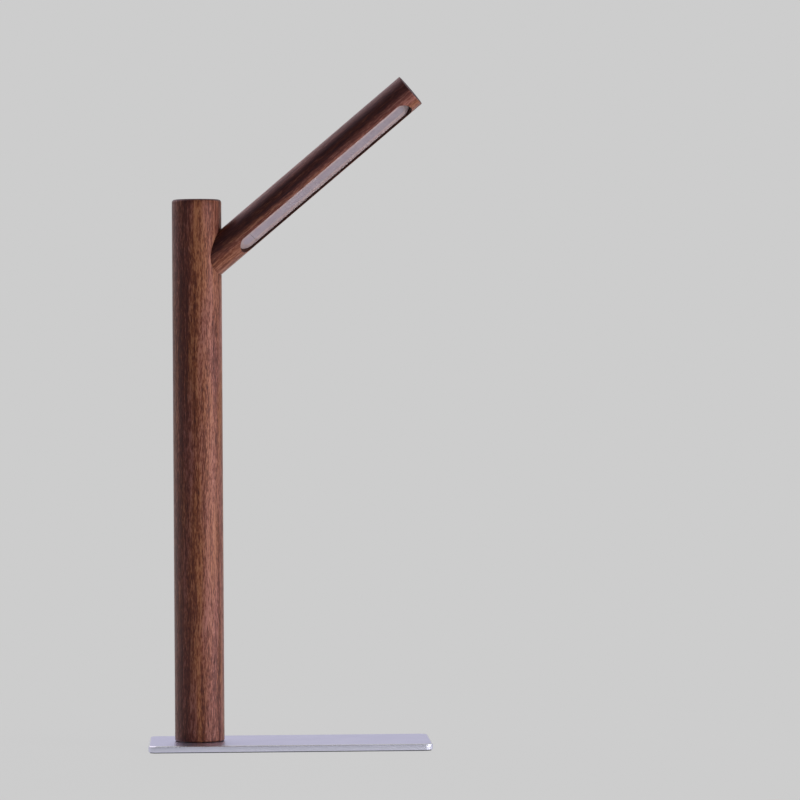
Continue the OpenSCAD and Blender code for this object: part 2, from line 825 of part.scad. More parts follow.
// Round-ended slab of opal with a bevel round its face
module opal_slab() {
    half = channel_width / 2;
    inner = half - diffuser_bevel;
    edge = diffuser_level - diffuser_bevel;
    translate([0, 0, channel_start + half]) linear_extrude(channel_end - channel_start - channel_width)
        polygon([[channel_rim, -half], [edge, -half], [diffuser_level, -inner],
            [diffuser_level, inner], [edge, half], [channel_rim, half]]);
    for (place = [channel_start + half, channel_end - half])
        translate([0, 0, place]) rotate([0, 90, 0])
        rotate_extrude() polygon([[0, channel_rim], [half, channel_rim], [half, edge],
            [inner, diffuser_level], [0, diffuser_level]]);
}

// Part of the opal slab, cut square where the touch key meets the diffuser
module opal_window(from, to) {
    color(opal)
    on_arm()
    intersection() {
        opal_slab();
        translate([channel_rim - over, -slot_width, from])
            cube([diffuser_thickness + 2 * over, 2 * slot_width, to - from]);
    }
}

module touch_key() { opal_window(channel_start - over, key_edge); }
module diffuser() { opal_window(key_edge + key_seam, channel_end + over); }

base_pad();
base_plate();
post_bolt();
post_insert();
post();
socket_plate();
socket_screws();
jack_shell();
jack_nut();
jack_cup();
jack_pin();
jack_lugs();
inlet_shell();
inlet_cup();
inlet_pin();
inlet_lugs();
post_wires();
magnet_ring();
arm_body();
plug_holder();
plug_barrel();
plug_insulator();
plug_contact();
arm_wires();
led_channel();
channel_screws();
led_board();
leds();
touch_spring();
touch_key();
diffuser();
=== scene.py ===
"""Looks of the walnut desk lamp: its finishes, its studio and its camera."""

import json
import math

import bmesh
import bpy
from mathutils import Matrix, Vector


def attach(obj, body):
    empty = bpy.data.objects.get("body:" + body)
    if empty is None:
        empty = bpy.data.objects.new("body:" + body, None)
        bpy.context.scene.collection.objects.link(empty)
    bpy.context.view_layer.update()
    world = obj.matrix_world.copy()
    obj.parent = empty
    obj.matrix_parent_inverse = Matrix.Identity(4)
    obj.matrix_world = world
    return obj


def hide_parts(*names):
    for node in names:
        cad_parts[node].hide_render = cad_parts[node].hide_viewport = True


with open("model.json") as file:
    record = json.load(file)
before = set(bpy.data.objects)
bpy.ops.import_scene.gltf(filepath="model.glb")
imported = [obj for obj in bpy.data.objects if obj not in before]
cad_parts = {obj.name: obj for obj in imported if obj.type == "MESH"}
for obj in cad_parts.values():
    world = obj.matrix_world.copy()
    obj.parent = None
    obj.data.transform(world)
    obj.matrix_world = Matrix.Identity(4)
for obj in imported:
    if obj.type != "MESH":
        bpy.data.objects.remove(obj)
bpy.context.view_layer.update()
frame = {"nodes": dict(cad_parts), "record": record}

# Camera, in metres and degrees: a long lens a little above the middle of the lamp
CAMERA_PLACE = Vector((-0.0469, -2.7208, 0.2435))
CAMERA_YAW = 2.515
CAMERA_PITCH = -0.404
CAMERA_ROLL = -0.34
FOCAL_IN_FRAMES = 4203 / 800
SENSOR_WIDTH = 36.0

# Studio
BACKDROP_GREY = (0.610, 0.610, 0.610, 1.0)
AMBIENT_SHARE = 0.16
FRONT_SHARE = 0.15
FLAG_SHARE = 0.25
CARD_SHARE = 0.75
FLOOR_SIZE = 12.0
FLOOR_NEAR = 0.10
FLOOR_FAR = 0.45
FLOOR_SHADOW_SHARE = 0.07
FLOOR_GLOW = 1.025
FLOOR_ALBEDO = (0.85, 0.85, 0.85, 1.0)

# Lamps: the key lights what is matte and what is glossy by two lamps in one place
KEY_LAMP = {"place": (1.47, -0.93, 0.42), "target": (-0.03, 0, 0.2), "size": (0.9, 1.2)}
STRIP_LAMP = {"place": (1.45, -0.72, 0.06), "target": (0.06, -0.02, 0.01), "size": (1.7, 0.18)}
RIM_LAMP = {"place": (-0.86, 0.62, 1.32), "target": (0, 0, 0.3), "size": (2.0, 1.5)}
RIM_TINT = (1.0, 0.87, 1.08)
BACK_LAMP = {"place": (0.2, 2.0, 0.7), "target": (0, 0, 0.22), "size": (1.2, 0.9)}

# Walnut
RING_SPACING = 0.0046
WOOD_DARK = (0.046, 0.0105, 0.0075, 1)
WOOD_MIDDLE = (0.180, 0.050, 0.027, 1)
WOOD_PALE = (0.400, 0.160, 0.100, 1)
WOOD_COOL = (0.96, 0.96, 1.22, 1)
WOOD_WARM = (1.05, 1.05, 0.80, 1)
PORE_BROWN = (0.026, 0.008, 0.007, 1)
END_GRAIN_PALE = (0.135, 0.080, 0.092, 1)
END_GRAIN_DARK = (0.042, 0.026, 0.040, 1)
# Painted shade: the post's wood is darkened just above its foot, where it meets the plate
FOOT_SHADE_BROWN = (0.008, 0.003, 0.003, 1)
FOOT_SHADE_HEIGHT = 0.0012

# Opal
OPAL_GREY = (0.45, 0.376, 0.438, 1)
OPAL_GREY_PALE = (0.492, 0.412, 0.47, 1)
# Painted highlight: colour of the paler band near the opal's edge, where its bevel catches light
OPAL_EDGE_HIGHLIGHT = (0.58, 0.45, 0.46, 1)

# Sizes of the lamp in millimetres, as in its CAD
PLATE_TOP = 4.6
PLATE_BOTTOM = 0.6
PLATE_HALF_LENGTH = 91.0
PLATE_HALF_WIDTH = 38.0
PLATE_CORNER = 5.5
BOLT_HOLE_RADIUS = 3.2
BOLT_SINK_RADIUS = 5.8
POST_RADIUS = 16.0
POST_TOP = 354.6
POST_TOP_FILLET = 2.0
POST_FOOT_FILLET = 1.2
POST_TURN = -9.0
INSERT_SEAT_RADIUS = 4.8
INSERT_SEAT_DEPTH = 12.05
SOCKET_RADIUS = 11.55
SOCKET_FLOOR = -5.0
NUT_POCKET_RADIUS = 6.17
NUT_POCKET_END = -13.2
INLET_HEADING = 90.0
INLET_HEIGHT = 28.6
INLET_RECESS_RADIUS = 4.95
INLET_SEAT = 14.4
INLET_BORE_RADIUS = 4.05
INLET_BORE_END = 2.0
ARM_RADIUS = 11.25
ARM_START = -3.2
ARM_END = 181.6
ARM_ROLL = 31.0
SLOT_START = 32.0
SLOT_END = 174.6
SLOT_HALF_WIDTH = 6.7
SLOT_FLOOR = -1.2
MAGNET_POCKET_RADIUS = 9.75
MAGNET_POCKET_END = 0.0
HOLDER_BORE_RADIUS = 6.25
HOLDER_BORE_END = 13.95

# Softened edges in millimetres, which the CAD has crisp or smaller
PLATE_CUT_WIDTH = 0.82
PLATE_CUT_DEPTH = 0.45
PLATE_CUT_FOOT = 0.10
PLATE_SWELL = 0.028
PLATE_SWELL_LEVEL = 3.3
PLATE_SIDE_LEVELS = (4.05, 3.8, 3.4, 3.0, 2.6, 2.2, 1.8, 1.4, 1.1, 0.9)
PLATE_LOWER_EDGE = ((0.26, 0.72), (0.45, PLATE_BOTTOM))
SOCKET_RIM_ROUND = 0.5
SLOT_RIM_ROUND = 0.3
INLET_RIM_ROUND = 0.3
ARM_END_ROUND = 0.5

# Stretches of the post that hold the inlet and the socket, in millimetres
INLET_STRETCH_TOP = 62.0
SOCKET_STRETCH_FOOT = 292.0

# Mesh steps
TURNS = 120
RIM_STEPS = 5
SPREAD_STEPS = 18
SIDE_STEPS = 24
SLOT_STEPS = 48
POST_STEPS = 6
CORNER_STEPS = 16
PLATE_EDGE_STEPS = 12
OPAL_END_STEPS = 40
LED_TURNS = 16
SCREW_TURNS = 20
MOUTH_FAN = 62.0

# Wires, in millimetres: the post's in the post's frame, the arm's in the arm's frame
POST_WIRE_RADIUS = 0.65
POST_WIRE_ROUTES = (
    ((-8.57, 0.00, 299.28), (-7.54, 0.00, 297.80), (-5.85, -0.55, 296.70), (-2.79, -1.10, 298.33),
     (-1.75, -1.10, 295.07), (-1.75, -1.10, 291.07), (-1.75, -1.10, 44.60), (1.06, 0.32, 33.60),
     (0.23, 2.06, 31.20), (-0.63, 4.00, 29.90), (-0.95, 5.98, 29.45)),
    ((-8.57, 2.00, 299.28), (-7.54, 2.00, 297.80), (-5.85, 1.55, 296.70), (-2.79, 1.10, 298.33),
     (-1.75, 1.10, 295.07), (-1.75, 1.10, 291.07), (-1.75, 1.10, 44.60), (-1.11, -0.02, 33.60),
     (-1.84, 1.73, 31.20), (-2.61, 3.69, 29.90), (-2.92, 5.66, 29.45)),
)
ARM_WIRE_RADIUS = 0.6
ARM_WIRE_ROUTES = (
    ((0.00, -2.35, 7.60), (0.00, -2.35, 9.60), (0.50, -1.20, 16.70), (1.85, -0.70, 29.20), (2.00, -0.70, 32.50),
     (2.00, -0.70, 34.00), (1.60, -0.85, 35.80)),
    ((0.00, 3.35, 5.00), (0.00, 3.35, 9.60), (0.50, 1.20, 16.70), (1.85, 0.70, 29.20), (2.00, 0.70, 32.50),
     (2.00, 0.70, 34.00), (1.60, 0.85, 35.80)),
)
WIRE_BEND_RADIUS = 1.5

# Light and screws, in millimetres
BOARD_TOP = 1.0
LED_COUNT = 20
LED_FIRST = 48.1
LED_LAST = 168.6
LED_LENGTH = 3.5
LED_WIDTH = 2.8
LED_HEIGHT = 0.8
LED_DISH_RADIUS = 1.1
LED_DISH_DEPTH = 0.3
LED_EDGE = 0.1
PHOSPHOR_RINGS = ((0.86, 0.01), (0.80, 0.12), (0.45, 0.20))
SPRING_PLACE = 38.9
SPRING_RADIUS = 2.0
SPRING_WIRE = 0.25
SPRING_TURNS = 4.0
SPRING_LOW = 1.25
SPRING_RISE = 4.0
CHANNEL_SCREW_COUNT = 3
CHANNEL_SCREW_FIRST = 45.6
CHANNEL_SCREW_LAST = 165.6
CHANNEL_SCREW_HEAD = 1.8
SOCKET_SCREW_REACH = 8.84
SOCKET_SCREW_LEVEL = -3.55
SOCKET_SCREW_HEAD = 2.0
CHANNEL_SCREW_LEVEL = -0.05
SCREW_SHANK = 1.0
SCREW_LENGTH = 7.95
SCREW_HEAD_EDGE = 0.12
RECESS_WIDTH = 0.5
RECESS_DEPTH = 0.5
RECESS_SHARE = 0.6

# Opal slabs in millimetres: their face lies a little deeper, and the seam is finer, than in the CAD
OPAL_HALF_WIDTH = 6.6
OPAL_BACK = 5.5
OPAL_FACE = 7.25
OPAL_START = 32.1
OPAL_END = 174.5
OPAL_ROUND = 0.35
OPAL_RIM = 3.6
KEY_EDGE = 43.1
KEY_SEAM = 0.14
KEY_SEAM_FLARE = 0.15

# Axes of the lamp, from its joints
UP = Vector((0, 0, 1))
arm_axis = Vector(frame["record"]["behaviour"]["joints"][0]["axis"]).normalized()
arm_below = (arm_axis * arm_axis.z - UP).normalized()
crossing = Vector(frame["record"]["behaviour"]["joints"][1]["pos_m"])
post_axis = Vector((crossing.x, crossing.y, 0))
arm_beside = arm_axis.cross(arm_below)
roll = math.radians(ARM_ROLL)
slot_facing = math.cos(roll) * arm_below - math.sin(roll) * arm_beside
arm_frame = (Matrix.Translation(1000 * crossing)
             @ Matrix((slot_facing, arm_axis.cross(slot_facing), arm_axis)).transposed().to_4x4())
socket_frame = (Matrix.Translation(1000 * crossing)
                @ Matrix((arm_below, arm_beside, arm_axis)).transposed().to_4x4())
post_frame = Matrix.Translation(1000 * post_axis) @ Matrix.Rotation(math.radians(POST_TURN), 4, "Z")


# Small helpers for node trees

def add_node(tree, kind, inputs=(), **settings):
    """Makes a node, sets its properties, and sets or links each input."""
    node = tree.nodes.new(kind)
    for name, value in settings.items():
        setattr(node, name, value)
    for key, value in dict(inputs).items():
        if isinstance(value, bpy.types.NodeSocket):
            tree.links.new(value, node.inputs[key])
        else:
            node.inputs[key].default_value = value
    return node


def math_node(tree, operation, first, second=0.0, clamp=False):
    node = add_node(tree, "ShaderNodeMath", {0: first, 1: second}, operation=operation, use_clamp=clamp)
    return node.outputs[0]


def vector_node(tree, operation, first, second=(0, 0, 0)):
    node = add_node(tree, "ShaderNodeVectorMath", {0: first, 1: second}, operation=operation)
    return node.outputs["Value"] if operation in ("LENGTH", "DOT_PRODUCT") else node.outputs["Vector"]


def mix_colours(tree, factor, first, second, blend="MIX"):
    node = add_node(tree, "ShaderNodeMix", {0: factor, 6: first, 7: second}, data_type="RGBA", blend_type=blend)
    return node.outputs[2]


def mix_values(tree, factor, first, second):
    return add_node(tree, "ShaderNodeMix", {0: factor, 2: first, 3: second}, data_type="FLOAT").outputs[0]


def map_range(tree, value, low, high, to_low=0.0, to_high=1.0, smooth=False):
    node = add_node(tree, "ShaderNodeMapRange", {0: value, 1: low, 2: high, 3: to_low, 4: to_high},
                    interpolation_type="SMOOTHSTEP" if smooth else "LINEAR")
    return node.outputs[0]


def noise(tree, vector, scale, detail=2.0, roughness=0.5, stretch=None):
    """Noise over a vector; stretch scales the vector first."""
    if stretch is not None:
        vector = vector_node(tree, "MULTIPLY", vector, stretch)
    return add_node(tree, "ShaderNodeTexNoise",
                    {"Vector": vector, "Scale": scale, "Detail": detail, "Roughness": roughness})


def bump(tree, height, distance, strength):
    inputs = {"Height": height, "Distance": distance, "Strength": strength}
    return add_node(tree, "ShaderNodeBump", inputs).outputs[0]


def new_material(name, **constants):
    """A material with a Principled shader, whose constant inputs are set by name."""
    material = bpy.data.materials.new(name)
    material.use_nodes = True
    tree = material.node_tree
    shader = tree.nodes["Principled BSDF"]
    for key, value in constants.items():
        shader.inputs[key.replace("_", " ")].default_value = value
    return material, tree, shader


def shifted(tree, colour, reach):
    """A sideways shift of up to half of reach each way, from a noise colour."""
    centred = vector_node(tree, "SUBTRACT", colour, (0.5, 0.5, 0.5))
    return vector_node(tree, "MULTIPLY", centred, (reach, reach, 0))


def weighted(tree, shares, clamp=True):
    """Sum of values, each times its own weight."""
    total = None
    for value, weight in shares:
        term = math_node(tree, "MULTIPLY", value, weight)
        total = term if total is None else math_node(tree, "ADD", total, term)
    return math_node(tree, "ADD", total, 0.0, clamp=clamp)


def object_coordinates(tree, turn=(0, 0, 0), shift=(0, 0, 0)):
    coordinates = add_node(tree, "ShaderNodeTexCoord")
    mapping = add_node(tree, "ShaderNodeMapping",
                       {"Vector": coordinates.outputs["Object"], "Rotation": turn, "Location": shift})
    return mapping.outputs[0]


# Finishes

def walnut(name, grain, pith, heart, darkness, heart_colour, figure, foot=0.0):
    """Oiled walnut as a solid piece of wood: growth rings about a pith beside the piece, with
    streaks, flecks and open pores drawn out along its grain. The band of the rings at radius
    heart is the dark heartwood, which takes on its own colour; figure is the strength of the streaks
    and flecks. The wood just above the level foot is darkened: painted shade where the piece meets the plate."""
    material, tree, shader = new_material(name, Specular_IOR_Level=0.75, Specular_Tint=(1.0, 0.54, 0.52, 1))
    upright = grain.rotation_difference(UP)
    straight = object_coordinates(tree, upright.to_euler("XYZ"), -(upright @ pith))
    sway = noise(tree, straight, 1.0, 2.0, 0.5, stretch=(30, 30, 16)).outputs["Color"]
    ripple = noise(tree, straight, 1.0, 2.0, 0.6, stretch=(110, 110, 45)).outputs["Color"]
    place = vector_node(tree, "ADD", straight, shifted(tree, sway, 0.0045))
    place = vector_node(tree, "ADD", place, shifted(tree, ripple, 0.0009))

    radius = vector_node(tree, "LENGTH", vector_node(tree, "MULTIPLY", place, (1, 1, 0)))
    ring = math_node(tree, "FRACT", math_node(tree, "DIVIDE", radius, RING_SPACING))
    late = math_node(tree, "POWER", ring, 2.5)
    distance = math_node(tree, "ABSOLUTE", math_node(tree, "SUBTRACT", radius, heart))
    heartwood = map_range(tree, distance, 0.002, 0.009, 1.0, 0.0, smooth=True)

    streak = noise(tree, place, 1.0, 4.0, 0.60, stretch=(520, 520, 12)).outputs["Fac"]
    fleck = noise(tree, place, 1.0, 2.0, 0.60, stretch=(1500, 1500, 165)).outputs["Fac"]
    grit = noise(tree, place, 1.0, 1.0, 0.50, stretch=(1900, 1900, 380)).outputs["Fac"]
    patch = noise(tree, place, 1.0, 2.0, 0.5, stretch=(130, 130, 9)).outputs["Fac"]
    pore_noise = noise(tree, place, 1.0, 1.0, 0.4, stretch=(2600, 2600, 110)).outputs["Fac"]
    pore = map_range(tree, pore_noise, 0.61, 0.70)

    streak_tone = map_range(tree, streak, 0.24, 0.76, 0.25 - 0.5 * figure, 0.75 + 0.5 * figure)
    fleck_tone = map_range(tree, fleck, 0.32, 0.68, 0.27 - figure, 0.27 + figure)
    grit_tone = map_range(tree, grit, 0.30, 0.70, 0.27 - figure, 0.27 + figure)
    patch_tone = map_range(tree, patch, 0.32, 0.68)
    tone = weighted(tree, ((streak_tone, 0.74), (fleck_tone, 0.56), (grit_tone, 0.40), (patch_tone, 0.34),
                           (late, -0.16), (heartwood, -0.26)), clamp=False)
    ramp = add_node(tree, "ShaderNodeValToRGB", {0: tone})
    stops = ramp.color_ramp.elements
    stops[0].position = 0.18
    stops[0].color = WOOD_DARK
    stops[1].position = 1.0
    stops[1].color = WOOD_PALE
    stops.new(0.66).color = WOOD_MIDDLE
    hue = noise(tree, place, 1.0, 1.0, 0.5, stretch=(120, 120, 14)).outputs["Fac"]
    warmth = mix_colours(tree, map_range(tree, hue, 0.36, 0.64), WOOD_COOL, WOOD_WARM)
    colour = mix_colours(tree, 1.0, ramp.outputs[0], warmth, "MULTIPLY")
    mottle = weighted(tree, ((streak, 0.5), (fleck, 0.5)))
    stain = map_range(tree, mottle, 0.36, 0.64, 1.20 * darkness, 0.62 * darkness)
    stained = math_node(tree, "MULTIPLY", heartwood, stain)
    colour = mix_colours(tree, stained, colour, heart_colour)
    colour = mix_colours(tree, math_node(tree, "MULTIPLY", pore, 0.60), colour, PORE_BROWN)

    facing = add_node(tree, "ShaderNodeTexCoord").outputs["Normal"]
    along = math_node(tree, "ABSOLUTE", vector_node(tree, "DOT_PRODUCT", facing, grain))
    end_grain = map_range(tree, along, 0.45, 0.90, smooth=True)
    rings = weighted(tree, ((late, 0.55), (heartwood, 0.35), (patch, 0.45), (grit, 0.20)))
    ends = mix_colours(tree, rings, END_GRAIN_PALE, END_GRAIN_DARK)
    colour = mix_colours(tree, end_grain, colour, ends)
    level = add_node(tree, "ShaderNodeSeparateXYZ", {0: object_coordinates(tree)}).outputs["Z"]
    # Painted shade: darker wood just above the foot level, where the piece meets the plate
    foot_shade = map_range(tree, level, foot, foot + FOOT_SHADE_HEIGHT, 0.85, 0.0, smooth=True)
    tree.links.new(mix_colours(tree, foot_shade, colour, FOOT_SHADE_BROWN), shader.inputs["Base Color"])

    sheen = map_range(tree, fleck, 0.3, 0.7, 0.46, 0.34)
    rough = weighted(tree, ((sheen, 1.0), (end_grain, 0.2), (pore, 0.15)))
    tree.links.new(rough, shader.inputs["Roughness"])
    grooves = weighted(tree, ((fleck, 0.5), (streak, 0.5), (grit, 0.4), (pore, -0.8)), clamp=False)
    tree.links.new(bump(tree, grooves, 0.00014, 0.45), shader.inputs["Normal"])
    return material


def satin_aluminium(name, rough):
    """Bead-blasted and anodised aluminium: a fine even grain with a slight change of sheen."""
    material, tree, shader = new_material(name, Metallic=1.0, Specular_Tint=(0.86, 0.84, 1.0, 1))
    place = object_coordinates(tree)
    blast = noise(tree, place, 9000, 2.0, 0.6).outputs["Fac"]
    cloud = noise(tree, place, 40, 3.0, 0.5).outputs["Fac"]
    colour = mix_colours(tree, map_range(tree, cloud, 0.3, 0.7), (0.80, 0.80, 0.95, 1), (0.86, 0.86, 1.0, 1))
    tree.links.new(colour, shader.inputs["Base Color"])
    clouded = map_range(tree, cloud, 0.3, 0.7, rough, rough + 0.05)
    sheen = math_node(tree, "ADD", clouded, math_node(tree, "MULTIPLY", blast, 0.06))
    tree.links.new(sheen, shader.inputs["Roughness"])
    tree.links.new(bump(tree, blast, 0.00002, 0.25), shader.inputs["Normal"])
    return material


def bright_metal(name, base, rough, brushed=0.0):
    """Plated or polished metal with faint handling marks; brushed adds fine turning lines."""
    material, tree, shader = new_material(name, Metallic=1.0)
    place = object_coordinates(tree)
    marks = noise(tree, place, 900, 3.0, 0.6).outputs["Fac"]
    smear = noise(tree, place, 160, 2.0, 0.5).outputs["Fac"]
    dull = tuple(0.86 * c for c in base[:3]) + (1,)
    tree.links.new(mix_colours(tree, map_range(tree, smear, 0.35, 0.7), base, dull), shader.inputs["Base Color"])
    tree.links.new(map_range(tree, marks, 0.3, 0.75, rough, rough + 0.12), shader.inputs["Roughness"])
    tree.links.new(bump(tree, marks, 0.00001, 0.2 + brushed), shader.inputs["Normal"])
    return material


def moulded(name, base, rough, grain=2500):
    """Moulded plastic, rubber or foam with a fine surface grain."""
    material, tree, shader = new_material(name)
    place = object_coordinates(tree)
    speck = noise(tree, place, grain, 2.0, 0.55).outputs["Fac"]
    deep = tuple(0.75 * c for c in base[:3]) + (1,)
    tree.links.new(mix_colours(tree, map_range(tree, speck, 0.3, 0.7), deep, base), shader.inputs["Base Color"])
    tree.links.new(map_range(tree, speck, 0.3, 0.7, rough - 0.06, rough + 0.06), shader.inputs["Roughness"])
    tree.links.new(bump(tree, speck, 0.00003, 0.3), shader.inputs["Normal"])
    return material


def opal_acrylic(name):
    """Satin opal acrylic, unlit: light scatters a little way into it; a paler band near its edge is
    a painted highlight of its bevel, and it is painted paler towards the post and darker towards the tip."""
    material, tree, shader = new_material(name)
    place = object_coordinates(tree)
    cloud = noise(tree, place, 120, 2.0, 0.5).outputs["Fac"]
    frost = noise(tree, place, 6000, 2.0, 0.5).outputs["Fac"]
    colour = mix_colours(tree, map_range(tree, cloud, 0.3, 0.7), OPAL_GREY, OPAL_GREY_PALE)
    from_crossing = vector_node(tree, "SUBTRACT", place, tuple(crossing))
    across = vector_node(tree, "DOT_PRODUCT", from_crossing, tuple(arm_axis.cross(slot_facing)))
    along = vector_node(tree, "DOT_PRODUCT", from_crossing, tuple(arm_axis))
    middle = 0.0005 * (OPAL_START + OPAL_END)
    straight = 0.0005 * (OPAL_END - OPAL_START) - 0.001 * OPAL_HALF_WIDTH
    from_middle = math_node(tree, "ABSOLUTE", math_node(tree, "SUBTRACT", along, middle))
    past_end = math_node(tree, "MAXIMUM", math_node(tree, "SUBTRACT", from_middle, straight), 0.0)
    off_line = math_node(tree, "SQRT", math_node(tree, "ADD", math_node(tree, "MULTIPLY", past_end, past_end),
                                                 math_node(tree, "MULTIPLY", across, across)))
    # Painted shade: the opal is paler towards the post and darker towards the tip
    fade = map_range(tree, along, 0.001 * OPAL_START, 0.001 * OPAL_END, 1.06, 0.90)
    painted_shade_tint = add_node(tree, "ShaderNodeCombineColor", {0: fade, 1: fade, 2: fade}).outputs[0]
    colour = mix_colours(tree, 1.0, colour, painted_shade_tint, "MULTIPLY")
    # Painted highlight: a paler band from OPAL_RIM in from the edge, for the bevel catching light
    rim_start = 0.001 * (OPAL_HALF_WIDTH - OPAL_RIM)
    rim = map_range(tree, off_line, rim_start - 0.0003, rim_start + 0.0003, smooth=True)
    colour = mix_colours(tree, rim, colour, OPAL_EDGE_HIGHLIGHT)
    tree.links.new(colour, shader.inputs["Base Color"])
    tree.links.new(map_range(tree, frost, 0.3, 0.7, 0.42, 0.5), shader.inputs["Roughness"])
    tree.links.new(bump(tree, frost, 0.00002, 0.2), shader.inputs["Normal"])
    shader.inputs["Subsurface Weight"].default_value = 0.5
    shader.inputs["Subsurface Radius"].default_value = (0.004, 0.0035, 0.0035)
    shader.inputs["Subsurface Scale"].default_value = 0.5
    return material


def dress(materials):
    """Gives each CAD node the finish of its material slot."""
    for part in frame["record"]["subparts"]:
        piece = frame["nodes"][part["node"]]
        finish = materials.get(part["node"]) or materials[part["material_slot"]]
        piece.data.materials.clear()
        piece.data.materials.append(finish)


# Post, arm, plate and opal, with softened edges

def bridge(mesh, first, second):
    """Quads between two closed rings with as many vertices."""
    count = len(first)
    return [mesh.faces.new((first[i], first[(i + 1) % count], second[(i + 1) % count], second[i]))
            for i in range(count)]


def arc(radius, level, size, start, end):
    """Profile points on an arc about a radius and level, in degrees."""
    turns = [math.radians(start + (end - start) * i / RIM_STEPS) for i in range(RIM_STEPS + 1)]
    return [(radius + size * math.cos(a), level + size * math.sin(a)) for a in turns]


def turn_profile(mesh, frame_of_piece, profile):
    """Turns a profile of radii and levels about the piece's own axis; a radius of 0 is a flat end."""
    last, capped = None, False
    for radius, level in profile:
        if radius == 0:
            capped = last is None
            if last:
                mesh.faces.new(last)
            continue
        angles = [2 * math.pi * k / TURNS for k in range(TURNS)]
        ring = [mesh.verts.new(frame_of_piece @ Vector((radius * math.cos(a), radius * math.sin(a), level)))
                for a in angles]
        if last:
            bridge(mesh, last, ring)
        elif capped:
            mesh.faces.new(ring)
        last = ring


def softened(edge, on_face, on_wall):
    """Points of a rounded rim from the face over the sharp edge to the wall."""
    steps = [i / RIM_STEPS for i in range(RIM_STEPS + 1)]
    return [(1 - u) ** 2 * on_face + 2 * u * (1 - u) * edge + u ** 2 * on_wall for u in steps]


def ring_rows(mesh, rows):
    """Bridges rows of points, each a closed ring, in order; gives the faces and the last ring."""
    faces, last = [], None
    for row in rows:
        ring = [mesh.verts.new(p) for p in row]
        if last:
            faces += bridge(mesh, last, ring)
        last = ring
    return faces, last


def bored_panel(mesh, low, high, heading, rise, height, hole, rim, floor, bore, bore_end):
    """Stretch of the post from low to high with a bore: its mouth has a softened rim, and a wall
    goes down to a flat floor with a narrower bore in it."""
    tilt, turn = math.radians(rise), math.radians(heading)
    ahead = Vector((math.cos(turn), math.sin(turn), 0))
    beside = Vector((-math.sin(turn), math.cos(turn), 0))
    axis = math.cos(tilt) * ahead + math.sin(tilt) * UP
    below = math.sin(tilt) * ahead - math.cos(tilt) * UP
    centre = Vector((0, 0, height))

    def out_along(radius, spin):
        side = radius * math.sin(spin)
        ahead_of_axis = math.sqrt(POST_RADIUS ** 2 - side ** 2)
        return (ahead_of_axis - radius * math.cos(spin) * math.sin(tilt)) / math.cos(tilt)

    def in_bore(radius, spin, out):
        return centre + out * axis + radius * (math.cos(spin) * below + math.sin(spin) * beside)

    def on_post(angle, level):
        return POST_RADIUS * (math.cos(angle) * ahead + math.sin(angle) * beside) + Vector((0, 0, level))

    # The outline of the unrolled stretch, and the turn on the mouth that each of its points starts from
    outline, spins = [], []
    fan = math.radians(MOUTH_FAN)
    for i in range(TURNS):
        outline.append((math.pi * (2 * i / TURNS - 1), low))
        spins.append(fan * (2 * i / TURNS - 1))
    for i in range(SIDE_STEPS):
        outline.append((math.pi, low + (high - low) * i / SIDE_STEPS))
        spins.append(fan + (math.pi - 2 * fan) * i / SIDE_STEPS)
    for i in range(TURNS):
        outline.append((math.pi * (1 - 2 * i / TURNS), high))
        spins.append(math.pi - fan + 2 * fan * i / TURNS)
    for i in range(SIDE_STEPS):
        outline.append((-math.pi, high - (high - low) * i / SIDE_STEPS))
        spins.append(math.pi + fan + (math.pi - 2 * fan) * i / SIDE_STEPS)

    mouth = []
    for spin in spins:
        point = in_bore(hole + rim, spin, out_along(hole + rim, spin))
        mouth.append((math.atan2(point.dot(beside), point.dot(ahead)), point.z))
    rows = []
    for step in range(SPREAD_STEPS + 1):
        share = (1 - step / SPREAD_STEPS) ** 1.4
        rows.append([on_post(a + share * (b - a), z + share * (w - z)) for (a, z), (b, w) in zip(mouth, outline)])
    rims = []
    for spin in spins:
        out = out_along(hole, spin)
        rims.append(softened(in_bore(hole, spin, out), in_bore(hole + rim, spin, out_along(hole + rim, spin)),
                             in_bore(hole, spin, out - rim)))
    rows += [[points[i] for points in rims] for i in range(1, RIM_STEPS + 1)]
    rows.append([in_bore(hole, spin, floor) for spin in spins])
    rows.append([in_bore(bore, spin, floor) for spin in spins])
    rows.append([in_bore(bore, spin, bore_end) for spin in spins])
    place = Matrix.Translation(1000 * post_axis)
    mesh.faces.new(ring_rows(mesh, [[place @ p for p in row] for row in rows])[1])


